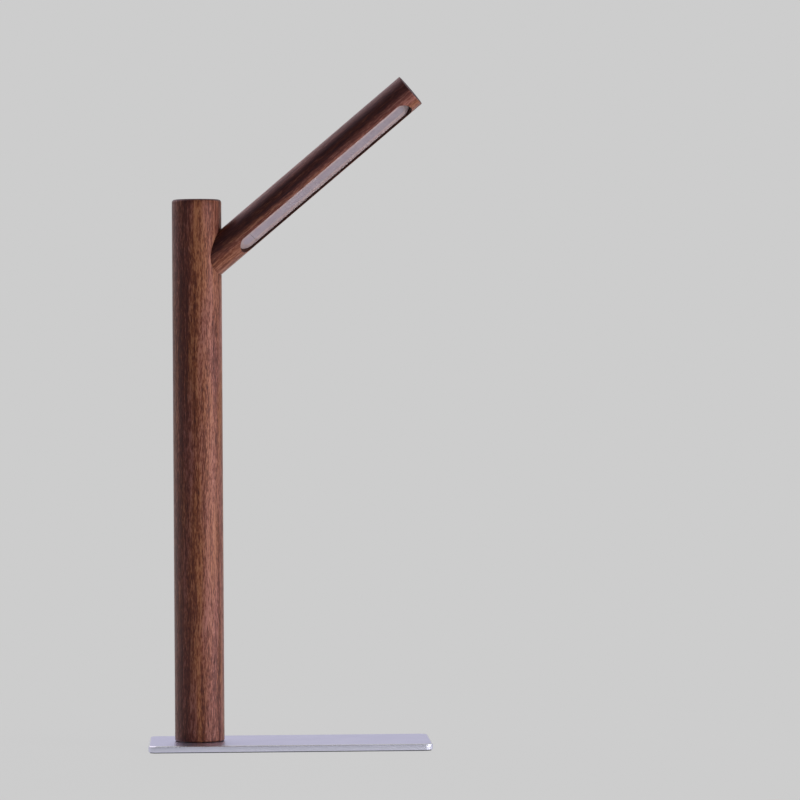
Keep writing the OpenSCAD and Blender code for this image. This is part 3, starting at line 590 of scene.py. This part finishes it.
def slotted_panel(mesh, frame_of_arm, start, end):
    """Outside of the arm from start to end with its round-ended slot: the slot has a softened rim,
    straight walls and a flat floor. Gives the faces of the walls and floor."""
    inner, outer = SLOT_START + SLOT_HALF_WIDTH, SLOT_END - SLOT_HALF_WIDTH

    def stadium(half):
        points = [(inner + (outer - inner) * i / SLOT_STEPS, half) for i in range(SLOT_STEPS)]
        for i in range(TURNS):
            a = math.pi * (0.5 - i / TURNS)
            points.append((outer + half * math.cos(a), half * math.sin(a)))
        points += [(outer - (outer - inner) * i / SLOT_STEPS, -half) for i in range(SLOT_STEPS)]
        for i in range(TURNS):
            a = -math.pi * (0.5 + i / TURNS)
            points.append((inner + half * math.cos(a), half * math.sin(a)))
        return points

    outline = [(start + (end - start) * i / SLOT_STEPS, math.pi) for i in range(SLOT_STEPS)]
    outline += [(end, math.pi * (1 - 2 * i / TURNS)) for i in range(TURNS)]
    outline += [(end - (end - start) * i / SLOT_STEPS, -math.pi) for i in range(SLOT_STEPS)]
    outline += [(start, math.pi * (2 * i / TURNS - 1)) for i in range(TURNS)]

    def on_arm(along, angle):
        return Vector((ARM_RADIUS * math.cos(angle), ARM_RADIUS * math.sin(angle), along))

    def on_face(along, across):
        return on_arm(along, math.asin(across / ARM_RADIUS))

    edge, face = stadium(SLOT_HALF_WIDTH), stadium(SLOT_HALF_WIDTH + SLOT_RIM_ROUND)
    rows = []
    for step in range(SPREAD_STEPS + 1):
        share = (1 - step / SPREAD_STEPS) ** 1.2
        row = []
        for (s, y), (along, angle) in zip(face, outline):
            near = math.asin(y / ARM_RADIUS)
            row.append(on_arm(s + share * (along - s), near + share * (angle - near)))
        rows.append(row)
    drop = Vector((SLOT_RIM_ROUND, 0, 0))
    rims = [softened(on_face(*e), on_face(*f), on_face(*e) - drop) for e, f in zip(edge, face)]
    rows += [[points[i] for points in rims] for i in range(1, RIM_STEPS + 1)]
    rows.append([Vector((SLOT_FLOOR, y, s)) for s, y in edge])
    faces, last = ring_rows(mesh, [[frame_of_arm @ p for p in row] for row in rows])
    return faces[-len(edge):] + [mesh.faces.new(last)]


def face_and_smooth(mesh, sharp):
    """Turns the faces outwards and smooths them; edges sharper than sharp, in degrees, stay crisp."""
    bmesh.ops.recalc_face_normals(mesh, faces=mesh.faces)
    for face in mesh.faces:
        face.smooth = True
    for edge in mesh.edges:
        edge.smooth = edge.calc_face_angle(0) < math.radians(sharp)


def finished_piece(mesh, name, finishes, body, node, sharp=35):
    """Turns a mesh in millimetres into a piece that rides on a body in place of a CAD node."""
    bmesh.ops.scale(mesh, vec=(0.001, 0.001, 0.001), verts=mesh.verts)
    bmesh.ops.remove_doubles(mesh, verts=mesh.verts, dist=1e-7)
    face_and_smooth(mesh, sharp)
    data = bpy.data.meshes.new(name)
    mesh.to_mesh(data)
    mesh.free()
    return placed_piece(data, name, finishes, body, node)


def placed_piece(data, name, finishes, body, node):
    """Puts a mesh into the scene; with no node it is an extra beside the CAD pieces."""
    for finish in finishes:
        data.materials.append(finish)
    piece = bpy.data.objects.new(name, data)
    bpy.context.collection.objects.link(piece)
    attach(piece, body)
    if node:
        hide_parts(node)
    return piece


def swelled_plate(finish, side_finish, cut_finish):
    """The base plate: a bright-cut chamfer round its top, sides that swell a little, a soft lower
    edge, and the sunk hole of the post's bolt."""
    mesh = bmesh.new()
    straight_x, straight_y = PLATE_HALF_LENGTH - PLATE_CORNER, PLATE_HALF_WIDTH - PLATE_CORNER

    def outline(inset, level):
        corner = PLATE_CORNER - inset
        points = []
        for turn, (sign_x, sign_y) in enumerate(((1, 1), (-1, 1), (-1, -1), (1, -1))):
            centre = Vector((sign_x * straight_x, sign_y * straight_y, level))
            for i in range(CORNER_STEPS + 1):
                a = math.pi / 2 * (turn + i / CORNER_STEPS)
                points.append(centre + corner * Vector((math.cos(a), math.sin(a), 0)))
            after = points[-1]
            turned = math.pi / 2 * (turn + 1)
            step = 2 * (straight_x if turn % 2 == 0 else straight_y)
            ahead = Vector((-math.sin(turned), math.cos(turned), 0))
            points += [after + ahead * step * i / PLATE_EDGE_STEPS for i in range(1, PLATE_EDGE_STEPS)]
        return points

    def hole(radius, level):
        ring = []
        for point in outline(0, level):
            out = Vector((point.x - 1000 * post_axis.x, point.y, 0)).normalized()
            ring.append(1000 * post_axis + radius * out + Vector((0, 0, level)))
        return ring

    chamfer = [outline(PLATE_CUT_WIDTH, PLATE_TOP), outline(PLATE_CUT_FOOT, PLATE_TOP - PLATE_CUT_DEPTH)]
    sides = [outline(PLATE_SWELL * (level - PLATE_SWELL_LEVEL) ** 2, level) for level in PLATE_SIDE_LEVELS]
    lower = [outline(inset, level) for inset, level in PLATE_LOWER_EDGE]
    sunk = PLATE_BOTTOM + BOLT_SINK_RADIUS - BOLT_HOLE_RADIUS
    rows = [hole(BOLT_HOLE_RADIUS, PLATE_TOP)] + chamfer + sides + lower
    rows += [hole(BOLT_SINK_RADIUS, PLATE_BOTTOM), hole(BOLT_HOLE_RADIUS, sunk), hole(BOLT_HOLE_RADIUS, PLATE_TOP)]
    faces = ring_rows(mesh, rows)[0]
    count = len(rows[0])
    for face in faces[2 * count:(1 + len(chamfer) + len(sides)) * count]:
        face.material_index = 1
    for face in faces[count:2 * count]:
        face.material_index = 2
    return finished_piece(mesh, "swelled_plate", [finish, side_finish, cut_finish], "stand", "base_plate",
                          sharp=25)


def turn_post(wood):
    """The post: rounded foot, power inlet's seat, socket with a softened mouth, rounded top."""
    mesh = bmesh.new()
    place = Matrix.Translation(1000 * post_axis)
    foot, top = PLATE_TOP + POST_FOOT_FILLET, POST_TOP - POST_TOP_FILLET
    seat_end = PLATE_TOP + INSERT_SEAT_DEPTH
    plain = SOCKET_STRETCH_FOOT - INLET_STRETCH_TOP
    turn_profile(mesh, place, [(0, seat_end), (INSERT_SEAT_RADIUS, seat_end), (INSERT_SEAT_RADIUS, PLATE_TOP)]
                 + arc(POST_RADIUS - POST_FOOT_FILLET, foot, POST_FOOT_FILLET, -90, 0))
    bored_panel(mesh, foot, INLET_STRETCH_TOP, INLET_HEADING, 0.0, INLET_HEIGHT,
                INLET_RECESS_RADIUS, INLET_RIM_ROUND, INLET_SEAT, INLET_BORE_RADIUS, INLET_BORE_END)
    turn_profile(mesh, place, [(POST_RADIUS, INLET_STRETCH_TOP + plain * i / POST_STEPS)
                               for i in range(POST_STEPS + 1)])
    bored_panel(mesh, SOCKET_STRETCH_FOOT, top, POST_TURN, math.degrees(math.asin(arm_axis.z)), 1000 * crossing.z,
                SOCKET_RADIUS, SOCKET_RIM_ROUND, SOCKET_FLOOR, NUT_POCKET_RADIUS, NUT_POCKET_END)
    turn_profile(mesh, place, arc(POST_RADIUS - POST_TOP_FILLET, top, POST_TOP_FILLET, 0, 90) + [(0, POST_TOP)])
    return finished_piece(mesh, "turned_post", [wood], "stand", "post")


def turn_arm(wood, slot_shade):
    """The arm: rounded ends, the magnet's pocket, and the light's slot with a softened rim."""
    mesh = bmesh.new()
    start, end = ARM_START + ARM_END_ROUND, ARM_END - ARM_END_ROUND
    body = ARM_RADIUS - ARM_END_ROUND
    turn_profile(mesh, arm_frame, [(0, HOLDER_BORE_END), (HOLDER_BORE_RADIUS, HOLDER_BORE_END),
                                   (HOLDER_BORE_RADIUS, MAGNET_POCKET_END),
                                   (MAGNET_POCKET_RADIUS, MAGNET_POCKET_END), (MAGNET_POCKET_RADIUS, ARM_START)]
                 + arc(body, start, ARM_END_ROUND, -90, 0))
    walls = slotted_panel(mesh, arm_frame, start, end)
    turn_profile(mesh, arm_frame, arc(body, end, ARM_END_ROUND, 0, 90) + [(0, ARM_END)])
    # Painted shade: the slot's walls and floor take a darker brown than the wood
    for face in walls:
        face.material_index = 1
    return finished_piece(mesh, "turned_arm", [wood, slot_shade], "arm", "arm_body")


def opal_slab(name, node, round_end, cut, outwards, finish):
    """Slab of opal with one round end and one straight cut, softened round its face."""
    mesh = bmesh.new()
    centre = round_end - outwards * OPAL_HALF_WIDTH

    def outline(inset, level):
        reach = OPAL_HALF_WIDTH - inset
        turns = [math.pi * (i / OPAL_END_STEPS - 0.5) for i in range(OPAL_END_STEPS + 1)]
        points = [(level, reach * math.sin(a), centre + outwards * reach * math.cos(a)) for a in turns]
        edge = cut + outwards * KEY_SEAM_FLARE * inset
        return points + [(level, reach, edge), (level, -reach, edge)]

    levels = [(0, OPAL_BACK)]
    for i in range(RIM_STEPS + 1):
        a = math.pi / 2 * i / RIM_STEPS
        levels.append((OPAL_ROUND * (1 - math.cos(a)), OPAL_FACE - OPAL_ROUND * (1 - math.sin(a))))
    rows = [[arm_frame @ Vector(p) for p in outline(inset, level)] for inset, level in levels]
    back = [mesh.verts.new(p) for p in rows[0]]
    mesh.faces.new(back)
    mesh.faces.new(ring_rows(mesh, rows)[1])
    return finished_piece(mesh, name, [finish], "arm", node)


# Wires, spring, diodes and screws, grown by geometry nodes

def growing_tree(name, inputs):
    """An empty geometry tree with named inputs and one geometry out."""
    tree = bpy.data.node_groups.new(name, "GeometryNodeTree")
    for label, kind in inputs:
        tree.interface.new_socket(label, in_out="INPUT", socket_type="NodeSocket" + kind)
    tree.interface.new_socket("Geometry", in_out="OUTPUT", socket_type="NodeSocketGeometry")
    return tree, tree.nodes.new("NodeGroupInput").outputs


def close_tree(tree, geometry, finish):
    """Makes what has grown real, gives it its finish, and puts it out."""
    real = add_node(tree, "GeometryNodeRealizeInstances", {"Geometry": geometry})
    dressed = add_node(tree, "GeometryNodeSetMaterial", {"Geometry": real.outputs[0], "Material": finish})
    add_node(tree, "NodeGroupOutput", {"Geometry": dressed.outputs[0]})
    return tree


def round_wire(tree, curve, radius, corners):
    """Sweeps a capped round section along a curve."""
    section = add_node(tree, "GeometryNodeCurvePrimitiveCircle", {"Resolution": corners, "Radius": radius})
    swept = add_node(tree, "GeometryNodeCurveToMesh",
                     {"Curve": curve, "Profile Curve": section.outputs["Curve"], "Fill Caps": True})
    return swept.outputs[0]


def swept_wire_tree():
    """Wires with rounded bends along the edges of a route."""
    tree, given = growing_tree("swept_wire", (("Route", "Geometry"), ("Wire radius", "Float"),
                                              ("Bend radius", "Float"), ("Finish", "Material")))
    path = add_node(tree, "GeometryNodeMeshToCurve", {"Mesh": given["Route"]})
    bent = add_node(tree, "GeometryNodeFilletCurve",
                    {"Curve": path.outputs[0], "Count": 5, "Radius": given["Bend radius"], "Limit Radius": True},
                    mode="POLY")
    wire = round_wire(tree, bent.outputs[0], given["Wire radius"], 14)
    clean = add_node(tree, "GeometryNodeMergeByDistance", {"Geometry": wire, "Distance": 0.02})
    return close_tree(tree, clean.outputs[0], given["Finish"])


def coiled_spring_tree():
    """A round wire coiled up from a level ring."""
    tree, given = growing_tree("coiled_spring", (("Turns", "Float"), ("Coil radius", "Float"), ("Rise", "Float"),
                                                 ("Wire radius", "Float"), ("Finish", "Material")))
    coil = add_node(tree, "GeometryNodeCurveSpiral",
                    {"Resolution": 28, "Rotations": given["Turns"], "Start Radius": given["Coil radius"],
                     "End Radius": given["Coil radius"], "Height": given["Rise"]})
    return close_tree(tree, round_wire(tree, coil.outputs[0], given["Wire radius"], 10), given["Finish"])


def even_row_tree():
    """Copies of one part, spread evenly from a first to a last place."""
    tree, given = growing_tree("even_row", (("Part", "Geometry"), ("Count", "Int"), ("First", "Vector"),
                                            ("Last", "Vector"), ("Finish", "Material")))
    places = add_node(tree, "GeometryNodeMeshLine", {"Count": given["Count"], "Start Location": given["First"],
                                                     "Offset": given["Last"]}, mode="END_POINTS")
    row = add_node(tree, "GeometryNodeInstanceOnPoints", {"Points": places.outputs[0], "Instance": given["Part"]})
    return close_tree(tree, row.outputs[0], given["Finish"])


def grown(name, source, tree, values):
    """Plain mesh that a tree grows from a source mesh with the given values."""
    holder = bpy.data.objects.new(name + "_source", source)
    bpy.context.collection.objects.link(holder)
    grower = holder.modifiers.new(tree.name, "NODES")
    grower.node_group = tree
    for item in tree.interface.items_tree:
        if item.in_out == "INPUT" and item.name in values:
            grower[item.identifier] = values[item.name]
    graph = bpy.context.evaluated_depsgraph_get()
    data = bpy.data.meshes.new_from_object(holder.evaluated_get(graph), depsgraph=graph)
    bpy.data.objects.remove(holder)
    bpy.data.meshes.remove(source)
    data.name = name
    data.materials.clear()
    data.materials.append(values["Finish"])
    data.polygons.foreach_set("material_index", [0] * len(data.polygons))
    return data


def grown_piece(name, data, place, body, node, sharp):
    """Piece from a grown mesh in millimetres, set in its place."""
    data.transform(Matrix.Scale(0.001, 4) @ place)
    mesh = bmesh.new()
    mesh.from_mesh(data)
    face_and_smooth(mesh, sharp)
    mesh.to_mesh(data)
    mesh.free()
    return placed_piece(data, name, (), body, node)


def run_wires(name, tree, routes, radius, finish, place, body, node):
    """Wires along routes of points, as one piece."""
    route = bpy.data.meshes.new(name + "_route")
    points, edges = [], []
    for line in routes:
        edges += [(len(points) + i, len(points) + i + 1) for i in range(len(line) - 1)]
        points += line
    route.from_pydata(points, edges, [])
    data = grown(name, route, tree, {"Wire radius": radius, "Bend radius": WIRE_BEND_RADIUS, "Finish": finish})
    return grown_piece(name, data, place, body, node, 50)


def coil_spring(tree, finish):
    """Sensing spring that stands on the board under the touch key."""
    data = grown("touch_coil", bpy.data.meshes.new("touch_coil_start"), tree,
                 {"Turns": SPRING_TURNS, "Coil radius": SPRING_RADIUS, "Rise": SPRING_RISE,
                  "Wire radius": SPRING_WIRE, "Finish": finish})
    stood = Matrix(((0, 0, 1, SPRING_LOW), (1, 0, 0, 0), (0, 1, 0, SPRING_PLACE), (0, 0, 0, 1)))
    return grown_piece("touch_coil", data, arm_frame @ stood, "arm", "touch_spring", 60)


def led_part():
    """Open package of one diode, with its face up: a block with a round dish in its face."""
    mesh = bmesh.new()
    half_length, half_width = LED_LENGTH / 2, LED_WIDTH / 2
    rows = {"foot": [], "shoulder": [], "face": [], "lip": [], "floor": []}
    for i in range(LED_TURNS):
        a = 2 * math.pi * (i + 0.5) / LED_TURNS
        reach = max(abs(math.cos(a)), abs(math.sin(a)))
        x, y = math.cos(a) / reach, math.sin(a) / reach
        rows["foot"].append((x * half_length, y * half_width, 0))
        rows["shoulder"].append((x * half_length, y * half_width, LED_HEIGHT - LED_EDGE))
        rows["face"].append((x * (half_length - LED_EDGE), y * (half_width - LED_EDGE), LED_HEIGHT))
        rows["lip"].append((LED_DISH_RADIUS * math.cos(a), LED_DISH_RADIUS * math.sin(a), LED_HEIGHT))
        rows["floor"].append((0.9 * LED_DISH_RADIUS * math.cos(a), 0.9 * LED_DISH_RADIUS * math.sin(a),
                              LED_HEIGHT - LED_DISH_DEPTH))
    ring_rows(mesh, list(rows.values()))
    return part_mesh(mesh, "led_part")


def phosphor_part():
    """Domed phosphor that fills most of one diode's dish."""
    mesh = bmesh.new()
    level = LED_HEIGHT - LED_DISH_DEPTH
    turns = [2 * math.pi * (i + 0.5) / LED_TURNS for i in range(LED_TURNS)]
    rings = []
    for share, height in PHOSPHOR_RINGS:
        radius = share * LED_DISH_RADIUS
        rings.append([(radius * math.cos(a), radius * math.sin(a), level + height) for a in turns])
    ring_rows(mesh, rings)
    return part_mesh(mesh, "phosphor_part")


def screw_part(head):
    """Countersunk screw with its head up at level 0, and a cross recess in it."""
    mesh = bmesh.new()
    turns = [2 * math.pi * i / SCREW_TURNS for i in range(SCREW_TURNS)]
    rims = []
    for radius, level in ((head, 0), (head, -SCREW_HEAD_EDGE), (SCREW_SHANK, SCREW_SHANK - head - SCREW_HEAD_EDGE),
                          (SCREW_SHANK, -SCREW_LENGTH)):
        rims.append([mesh.verts.new((radius * math.cos(a), radius * math.sin(a), level)) for a in turns])
    for first, second in zip(rims, rims[1:]):
        bridge(mesh, first, second)
    mesh.faces.new(rims[-1])
    half, reach = RECESS_WIDTH / 2, RECESS_SHARE * head
    corners = []
    for turn in range(4):
        a = math.pi / 2 * turn
        for x, y in ((reach, -half), (reach, half), (half, half)):
            corners.append((x * math.cos(a) - y * math.sin(a), x * math.sin(a) + y * math.cos(a)))
    upper = [mesh.verts.new((x, y, 0)) for x, y in corners]
    lower = [mesh.verts.new((0.8 * x, 0.8 * y, -RECESS_DEPTH)) for x, y in corners]
    bridge(mesh, upper, lower)
    mesh.faces.new(lower)
    mesh.edges.ensure_lookup_table()
    outline = [edge for edge in mesh.edges if len(edge.link_faces) == 1]
    bmesh.ops.triangle_fill(mesh, edges=outline, use_beauty=True, use_dissolve=False)
    return part_mesh(mesh, "screw_part")


def part_mesh(mesh, name):
    """Closes what is still open of a part and makes a mesh of it."""
    bmesh.ops.holes_fill(mesh, edges=mesh.edges, sides=0)
    bmesh.ops.recalc_face_normals(mesh, faces=mesh.faces)
    data = bpy.data.meshes.new(name)
    mesh.to_mesh(data)
    mesh.free()
    return data


def row_of(name, tree, part, count, first, last, finish, facing, place, body, node, slot):
    """One part repeated in a row; facing turns it from face up to the way it faces."""
    part.transform(facing)
    data = grown(name, part, tree, {"Count": count, "First": first, "Last": last, "Finish": finish})
    return grown_piece(name, data, place, body, node, 32)


# Studio

def seen_ray(tree):
    """One for rays from the camera and for reflections and refractions of the backdrop."""
    path = add_node(tree, "ShaderNodeLightPath")
    seen = math_node(tree, "ADD", path.outputs["Is Camera Ray"], path.outputs["Is Glossy Ray"])
    return math_node(tree, "ADD", seen, path.outputs["Is Transmission Ray"], clamp=True)


def make_world():
    """Plain studio: a pale backdrop all round; what reflects it finds it dimmer towards the front,
    where one pale card hangs, and towards the right, where a dark flag stands."""
    world = bpy.data.worlds.new("studio")
    bpy.context.scene.world = world
    world.use_nodes = True
    tree = world.node_tree
    background = tree.nodes["Background"]
    background.inputs["Color"].default_value = BACKDROP_GREY
    path = add_node(tree, "ShaderNodeLightPath")
    direction = add_node(tree, "ShaderNodeTexCoord").outputs["Generated"]
    rightwards, backwards, upwards = add_node(tree, "ShaderNodeSeparateXYZ", {0: direction}).outputs
    mirrored = map_range(tree, backwards, -0.25, 0.35, FRONT_SHARE, 1.0, smooth=True)
    flagged = map_range(tree, rightwards, 0.35, 0.75, 1.0, FLAG_SHARE, smooth=True)
    mirrored = math_node(tree, "MULTIPLY", mirrored, flagged)
    card = math_node(tree, "MULTIPLY", map_range(tree, upwards, 0.17, 0.28, smooth=True),
                     map_range(tree, upwards, 0.50, 0.65, CARD_SHARE, 0.0, smooth=True))
    card = math_node(tree, "MULTIPLY", card, map_range(tree, rightwards, -0.15, 0.05, smooth=True))
    mirrored = math_node(tree, "MAXIMUM", mirrored, card)
    reflected = math_node(tree, "MAXIMUM", path.outputs["Is Glossy Ray"], path.outputs["Is Transmission Ray"])
    strength = mix_values(tree, reflected, AMBIENT_SHARE, mirrored)
    strength = mix_values(tree, path.outputs["Is Camera Ray"], strength, 1.0)
    tree.links.new(strength, background.inputs["Strength"])


def make_floor():
    """Pale floor that fades into the backdrop away from the lamp and keeps its shadow."""
    mesh = bpy.data.meshes.new("floor")
    half = FLOOR_SIZE / 2
    mesh.from_pydata([(-half, -half, 0), (half, -half, 0), (half, half, 0), (-half, half, 0)], [], [(0, 1, 2, 3)])
    floor = bpy.data.objects.new("floor", mesh)
    bpy.context.collection.objects.link(floor)
    material = bpy.data.materials.new("pale_floor")
    material.use_nodes = True
    tree = material.node_tree
    tree.nodes.clear()
    matte = add_node(tree, "ShaderNodeBsdfDiffuse", {"Color": FLOOR_ALBEDO})
    away = vector_node(tree, "LENGTH", add_node(tree, "ShaderNodeTexCoord").outputs["Object"])
    glow_strength = map_range(tree, away, FLOOR_NEAR, FLOOR_FAR, FLOOR_GLOW, 1.0, smooth=True)
    glow = add_node(tree, "ShaderNodeEmission", {"Color": BACKDROP_GREY, "Strength": glow_strength})
    fade = map_range(tree, away, FLOOR_NEAR, FLOOR_FAR, 1 - FLOOR_SHADOW_SHARE, 1.0, smooth=True)
    share = math_node(tree, "MULTIPLY", fade, seen_ray(tree))
    mixed = add_node(tree, "ShaderNodeMixShader", {0: share, 1: matte.outputs[0], 2: glow.outputs[0]})
    add_node(tree, "ShaderNodeOutputMaterial", {"Surface": mixed.outputs[0]})
    mesh.materials.append(material)


def softbox(name, place, target, size, power, tint=(1, 1, 1), matte=True, gloss=True):
    """Soft lamp of a given width and height, which may light only what is matte or show only in
    what is glossy."""
    light = bpy.data.lights.new(name, "AREA")
    light.shape = "RECTANGLE"
    light.size, light.size_y = size
    light.energy = power
    light.color = tint
    lamp = bpy.data.objects.new(name, light)
    lamp.visible_diffuse, lamp.visible_glossy = matte, gloss
    lamp.location = place
    lamp.rotation_euler = (Vector(target) - Vector(place)).to_track_quat("-Z", "Y").to_euler()
    bpy.context.collection.objects.link(lamp)


def make_camera():
    """Camera at its place, turned by yaw, pitch and roll."""
    yaw, pitch, roll = (math.radians(a) for a in (CAMERA_YAW, CAMERA_PITCH, CAMERA_ROLL))
    forward = Vector((math.sin(yaw) * math.cos(pitch), math.cos(yaw) * math.cos(pitch), math.sin(pitch)))
    right = Vector((math.cos(yaw), -math.sin(yaw), 0))
    above = right.cross(forward)
    rolled_right = math.cos(roll) * right + math.sin(roll) * above
    rolled_above = math.cos(roll) * above - math.sin(roll) * right
    data = bpy.data.cameras.new("camera")
    data.sensor_width = SENSOR_WIDTH
    data.lens = SENSOR_WIDTH * FOCAL_IN_FRAMES
    data.clip_end = 50
    camera = bpy.data.objects.new("camera", data)
    turned = Matrix((rolled_right, rolled_above, -forward)).transposed().to_4x4()
    camera.matrix_world = Matrix.Translation(CAMERA_PLACE) @ turned
    bpy.context.collection.objects.link(camera)
    bpy.context.scene.camera = camera


make_camera()
make_world()
make_floor()
softbox("key", **KEY_LAMP, power=19.5, gloss=False)
softbox("key_sheen", **KEY_LAMP, power=3.6, matte=False)
softbox("low_strip", **STRIP_LAMP, power=9.5, matte=False)
softbox("rim", **RIM_LAMP, power=5.3, tint=RIM_TINT)
softbox("back_fill", **BACK_LAMP, power=20, gloss=False)
bpy.context.scene.view_settings.view_transform = "Standard"

post_wood = walnut("walnut_post", grain=UP, pith=post_axis - Vector((0.070, 0.010, 0)), heart=0.061, darkness=0.22,
                   heart_colour=(0.038, 0.009, 0.007, 1), figure=0.62, foot=0.001 * PLATE_TOP)
arm_wood = walnut("walnut_arm", grain=arm_axis, pith=crossing - 0.045 * arm_below, heart=0.0425, darkness=0.80,
                  heart_colour=(0.012, 0.004, 0.009, 1), figure=0.36)
# The slot's walls and floor are a darker brown than the wood: painted shade for the recess
slot_shade = moulded("slot_painted_shade", (0.072, 0.025, 0.018, 1), 0.7)
finishes = {
    "walnut": post_wood,
    "arm_body": arm_wood,
    "satin_aluminium": satin_aluminium("satin_aluminium", 0.28),
    "polished_steel": bright_metal("polished_steel", (0.60, 0.58, 0.57, 1), 0.09),
    "nickel": bright_metal("nickel", (0.72, 0.70, 0.67, 1), 0.16),
    "brass": bright_metal("brass", (0.72, 0.52, 0.24, 1), 0.24, brushed=0.2),
    "black_plastic": moulded("black_plastic", (0.018, 0.018, 0.018, 1), 0.45),
    "opal_acrylic": opal_acrylic("opal_acrylic"),
    "board_white": moulded("board_white", (0.80, 0.80, 0.78, 1), 0.4),
    "led_package": moulded("led_package", (0.82, 0.80, 0.74, 1), 0.35),
    "wire_sleeve": moulded("wire_sleeve", (0.09, 0.03, 0.02, 1), 0.45),
    "eva_pad": moulded("eva_pad", (0.13, 0.13, 0.135, 1), 0.8, grain=1400),
}
phosphor = moulded("phosphor", (0.82, 0.62, 0.10, 1), 0.4)
dress(finishes)

swelled_plate(finishes["satin_aluminium"], satin_aluminium("blasted_edge", 0.40),
              bright_metal("bright_cut", (0.95, 0.95, 1.0, 1), 0.10))
turn_post(post_wood)
turn_arm(arm_wood, slot_shade)
opal_slab("soft_touch_key", "touch_key", OPAL_START, KEY_EDGE, -1, finishes["opal_acrylic"])
opal_slab("soft_diffuser", "diffuser", OPAL_END, KEY_EDGE + KEY_SEAM, 1, finishes["opal_acrylic"])

wire_tree, row_tree = swept_wire_tree(), even_row_tree()
sleeve, steel = finishes["wire_sleeve"], finishes["polished_steel"]
run_wires("post_leads", wire_tree, POST_WIRE_ROUTES, POST_WIRE_RADIUS, sleeve, post_frame, "stand", "post_wires")
run_wires("arm_leads", wire_tree, ARM_WIRE_ROUTES, ARM_WIRE_RADIUS, sleeve, arm_frame, "arm", "arm_wires")
coil_spring(coiled_spring_tree(), steel)
towards_slot = Matrix.Rotation(math.radians(90), 4, "Y")
led_line = ((BOARD_TOP, 0, LED_FIRST), (BOARD_TOP, 0, LED_LAST))
row_of("led_row", row_tree, led_part(), LED_COUNT, *led_line, finishes["led_package"], towards_slot, arm_frame,
       "arm", "leds", "led_package")
row_of("phosphor_row", row_tree, phosphor_part(), LED_COUNT, *led_line, phosphor, towards_slot, arm_frame,
       "arm", None, "led_package")
row_of("channel_screw_row", row_tree, screw_part(CHANNEL_SCREW_HEAD), CHANNEL_SCREW_COUNT,
       (CHANNEL_SCREW_LEVEL, 0, CHANNEL_SCREW_FIRST), (CHANNEL_SCREW_LEVEL, 0, CHANNEL_SCREW_LAST),
       steel, towards_slot, arm_frame, "arm", "channel_screws", "polished_steel")
row_of("socket_screw_pair", row_tree, screw_part(SOCKET_SCREW_HEAD), 2,
       (0, -SOCKET_SCREW_REACH, SOCKET_SCREW_LEVEL), (0, SOCKET_SCREW_REACH, SOCKET_SCREW_LEVEL),
       steel, Matrix.Identity(4), socket_frame, "stand", "socket_screws", "polished_steel")
